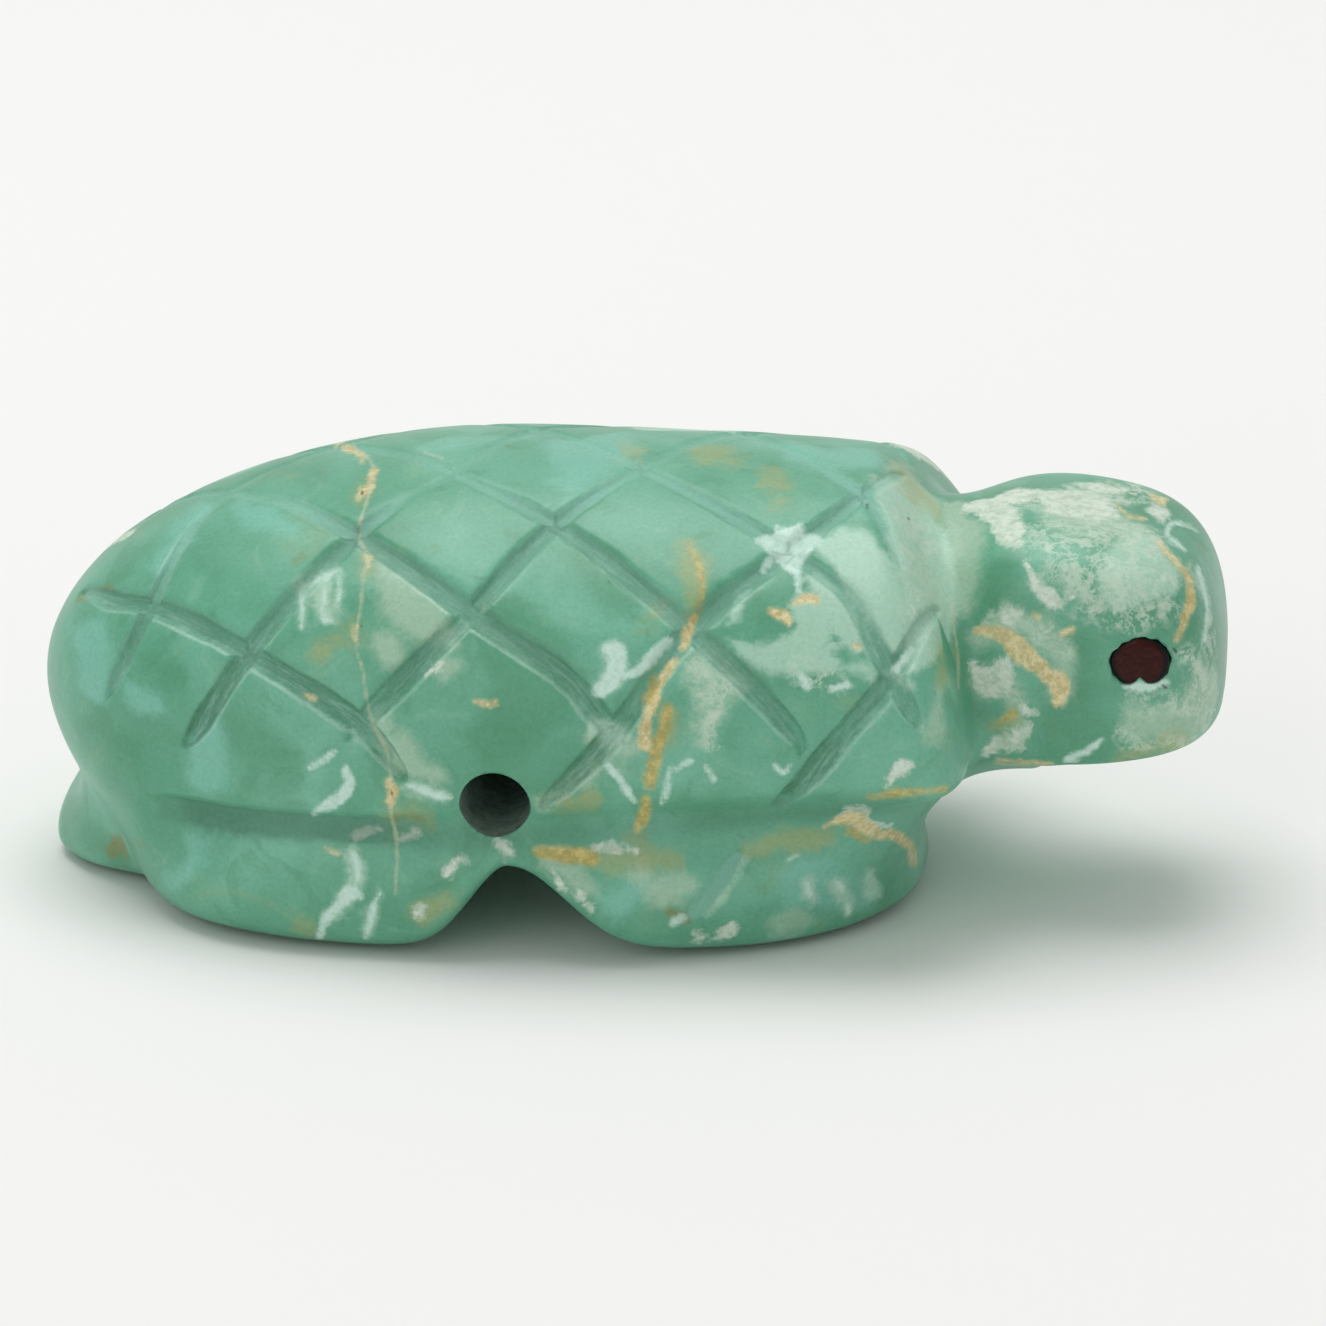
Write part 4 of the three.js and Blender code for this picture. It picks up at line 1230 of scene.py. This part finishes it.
# %% Eyes
def eye_profile(side):
    """Half a section of the plug: back, side wall, rounded edge and shallow dome, as [radius, y]."""
    a = np.linspace(0.0, np.pi / 2.0, 14)
    edge = np.stack([EYE_RADIUS - 0.06 + 0.06 * np.cos(a), 3.96 + 0.05 * np.sin(a)], -1)
    r = np.linspace(EYE_RADIUS - 0.06, 0.0, 12)[1:]
    dome = np.stack([r, 4.01 + 0.08 * (1.0 - (r / EYE_RADIUS) ** 2)], -1)
    profile = np.concatenate([[[0.0, EYE_FLOOR], [EYE_RADIUS, EYE_FLOOR], [EYE_RADIUS, 3.5]], edge, dome])
    profile[:, 1] *= side
    return profile if side > 0 else profile[::-1]


inlay = bpy.data.materials.new("polished_red_brown_inlay")
inlay.use_nodes = True
tree = inlay.node_tree
tree.nodes.clear()
shape = add(tree, "ShaderNodeTexCoord").outputs["Object"]
place = add(tree, "ShaderNodeMapping", {"Scale": (1000.0, 1000.0, 1000.0)}, {0: shape}).outputs[0]
split = add(tree, "ShaderNodeSeparateXYZ", None, {0: place})
dx = math(tree, "SUBTRACT", split.outputs[0], EYE_X)
dz = math(tree, "SUBTRACT", split.outputs[2], EYE_Z)
radius = math(tree, "SQRT", math(tree, "ADD", math(tree, "MULTIPLY", dx, dx), math(tree, "MULTIPLY", dz, dz)))
speck = stone_noise(tree, place, 0.12, 4.0, 0.7)
color = add(tree, "ShaderNodeValToRGB", None, {0: speck}, [[0.3, "#200503"], [0.6, "#3b0f07"], [0.8, "#581b0f"]])
wander = math(tree, "MULTIPLY_ADD", math(tree, "SUBTRACT", speck, 0.5), 0.12, radius)
color = mix(tree, band(tree, wander, 0.6, 0.68), color.outputs[0], "#0b0807")
shader = add(tree, "ShaderNodeBsdfPrincipled", {"Roughness": 0.12, "IOR": 1.4, "Specular IOR Level": 0.25},
             {"Base Color": color})
add(tree, "ShaderNodeOutputMaterial", None, {0: shader.outputs[0]})

for name, side, node in (("eye_right", -1, "eye_inlay_right"), ("eye_left", 1, "eye_inlay_left")):
    eye = turned_plug(name, eye_profile(side), EYE_OUTLINES[side], EYE_X, EYE_Z)
    eye.data.shade_smooth()
    eye.data.materials.append(inlay)
    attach(eye, "root")
    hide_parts(node)
    print(name, len(eye.data.polygons), "faces")

# %% [markdown]
# ## Floor and light
# The photograph was taken on white, under a broad soft light from above. A white sheet that curves
# up behind the stone and one large soft lamp overhead give the same: a bright ridge, softly darker
# flanks and a thin light rim all around, thrown back by the white surroundings.

# %% A white sheet as floor and backdrop
def sweep():
    """A floor that bends up through a quarter circle into a wall: a profile carried along X."""
    a = np.linspace(0.0, np.pi / 2.0, 16)
    y = np.concatenate([[-600.0], 250.0 + 150.0 * np.sin(a), [400.0]])
    z = np.concatenate([[0.0], 150.0 - 150.0 * np.cos(a), [600.0]])
    x = np.array([-700.0, 700.0])
    grid = np.stack(np.broadcast_arrays(x[:, None], y[None, :], z[None, :]), -1)
    n = len(y)
    faces = [(i, i + n, i + n + 1, i + 1) for i in range(n - 1)]
    mesh = bpy.data.meshes.new("sheet")
    mesh.from_pydata((grid.reshape(-1, 3) * MM).tolist(), [], faces)
    mesh.shade_smooth()
    return mesh


paper = bpy.data.materials.new("matte_white_paper")
paper.use_nodes = True
tree = paper.node_tree
tree.nodes.clear()
shader = add(tree, "ShaderNodeBsdfPrincipled", {"Base Color": linear("#f4f4f2"), "Roughness": 0.9})
add(tree, "ShaderNodeOutputMaterial", None, {0: shader.outputs[0]})
floor_object = bpy.data.objects.new("white_sheet", sweep())
floor_object.data.materials.append(paper)
bpy.context.scene.collection.objects.link(floor_object)

# %% Lamps and surroundings
def soft_lamp(name, place_mm, target_mm, size_mm, watts):
    """A square area lamp that looks at a point."""
    data = bpy.data.lights.new(name, "AREA")
    data.shape, data.size, data.energy = "SQUARE", size_mm * MM, watts
    lamp = bpy.data.objects.new(name, data)
    bpy.context.scene.collection.objects.link(lamp)
    back = np.array(place_mm, float) - np.array(target_mm, float)
    back /= np.linalg.norm(back)
    right = np.cross([0.0, 1.0, 0.0] if abs(back[2]) > 0.99 else [0.0, 0.0, 1.0], back)
    right /= np.linalg.norm(right)
    up = np.cross(back, right)
    lamp.matrix_world = facing(place_mm, right, up, back)
    return lamp


soft_lamp("overhead", (-40.0, 60.0, 320.0), (0.0, 0.0, 5.0), 260.0, 0.62)
soft_lamp("front_fill", (-150.0, -300.0, 160.0), (0.0, 0.0, 5.0), 260.0, 0.16)
world = bpy.data.worlds.new("white_room")
world.use_nodes = True
world.node_tree.nodes["Background"].inputs[0].default_value = (1.0, 1.0, 1.0, 1.0)
world.node_tree.nodes["Background"].inputs[1].default_value = 0.5
bpy.context.scene.world = world
bpy.context.scene.view_settings.view_transform = "Standard"
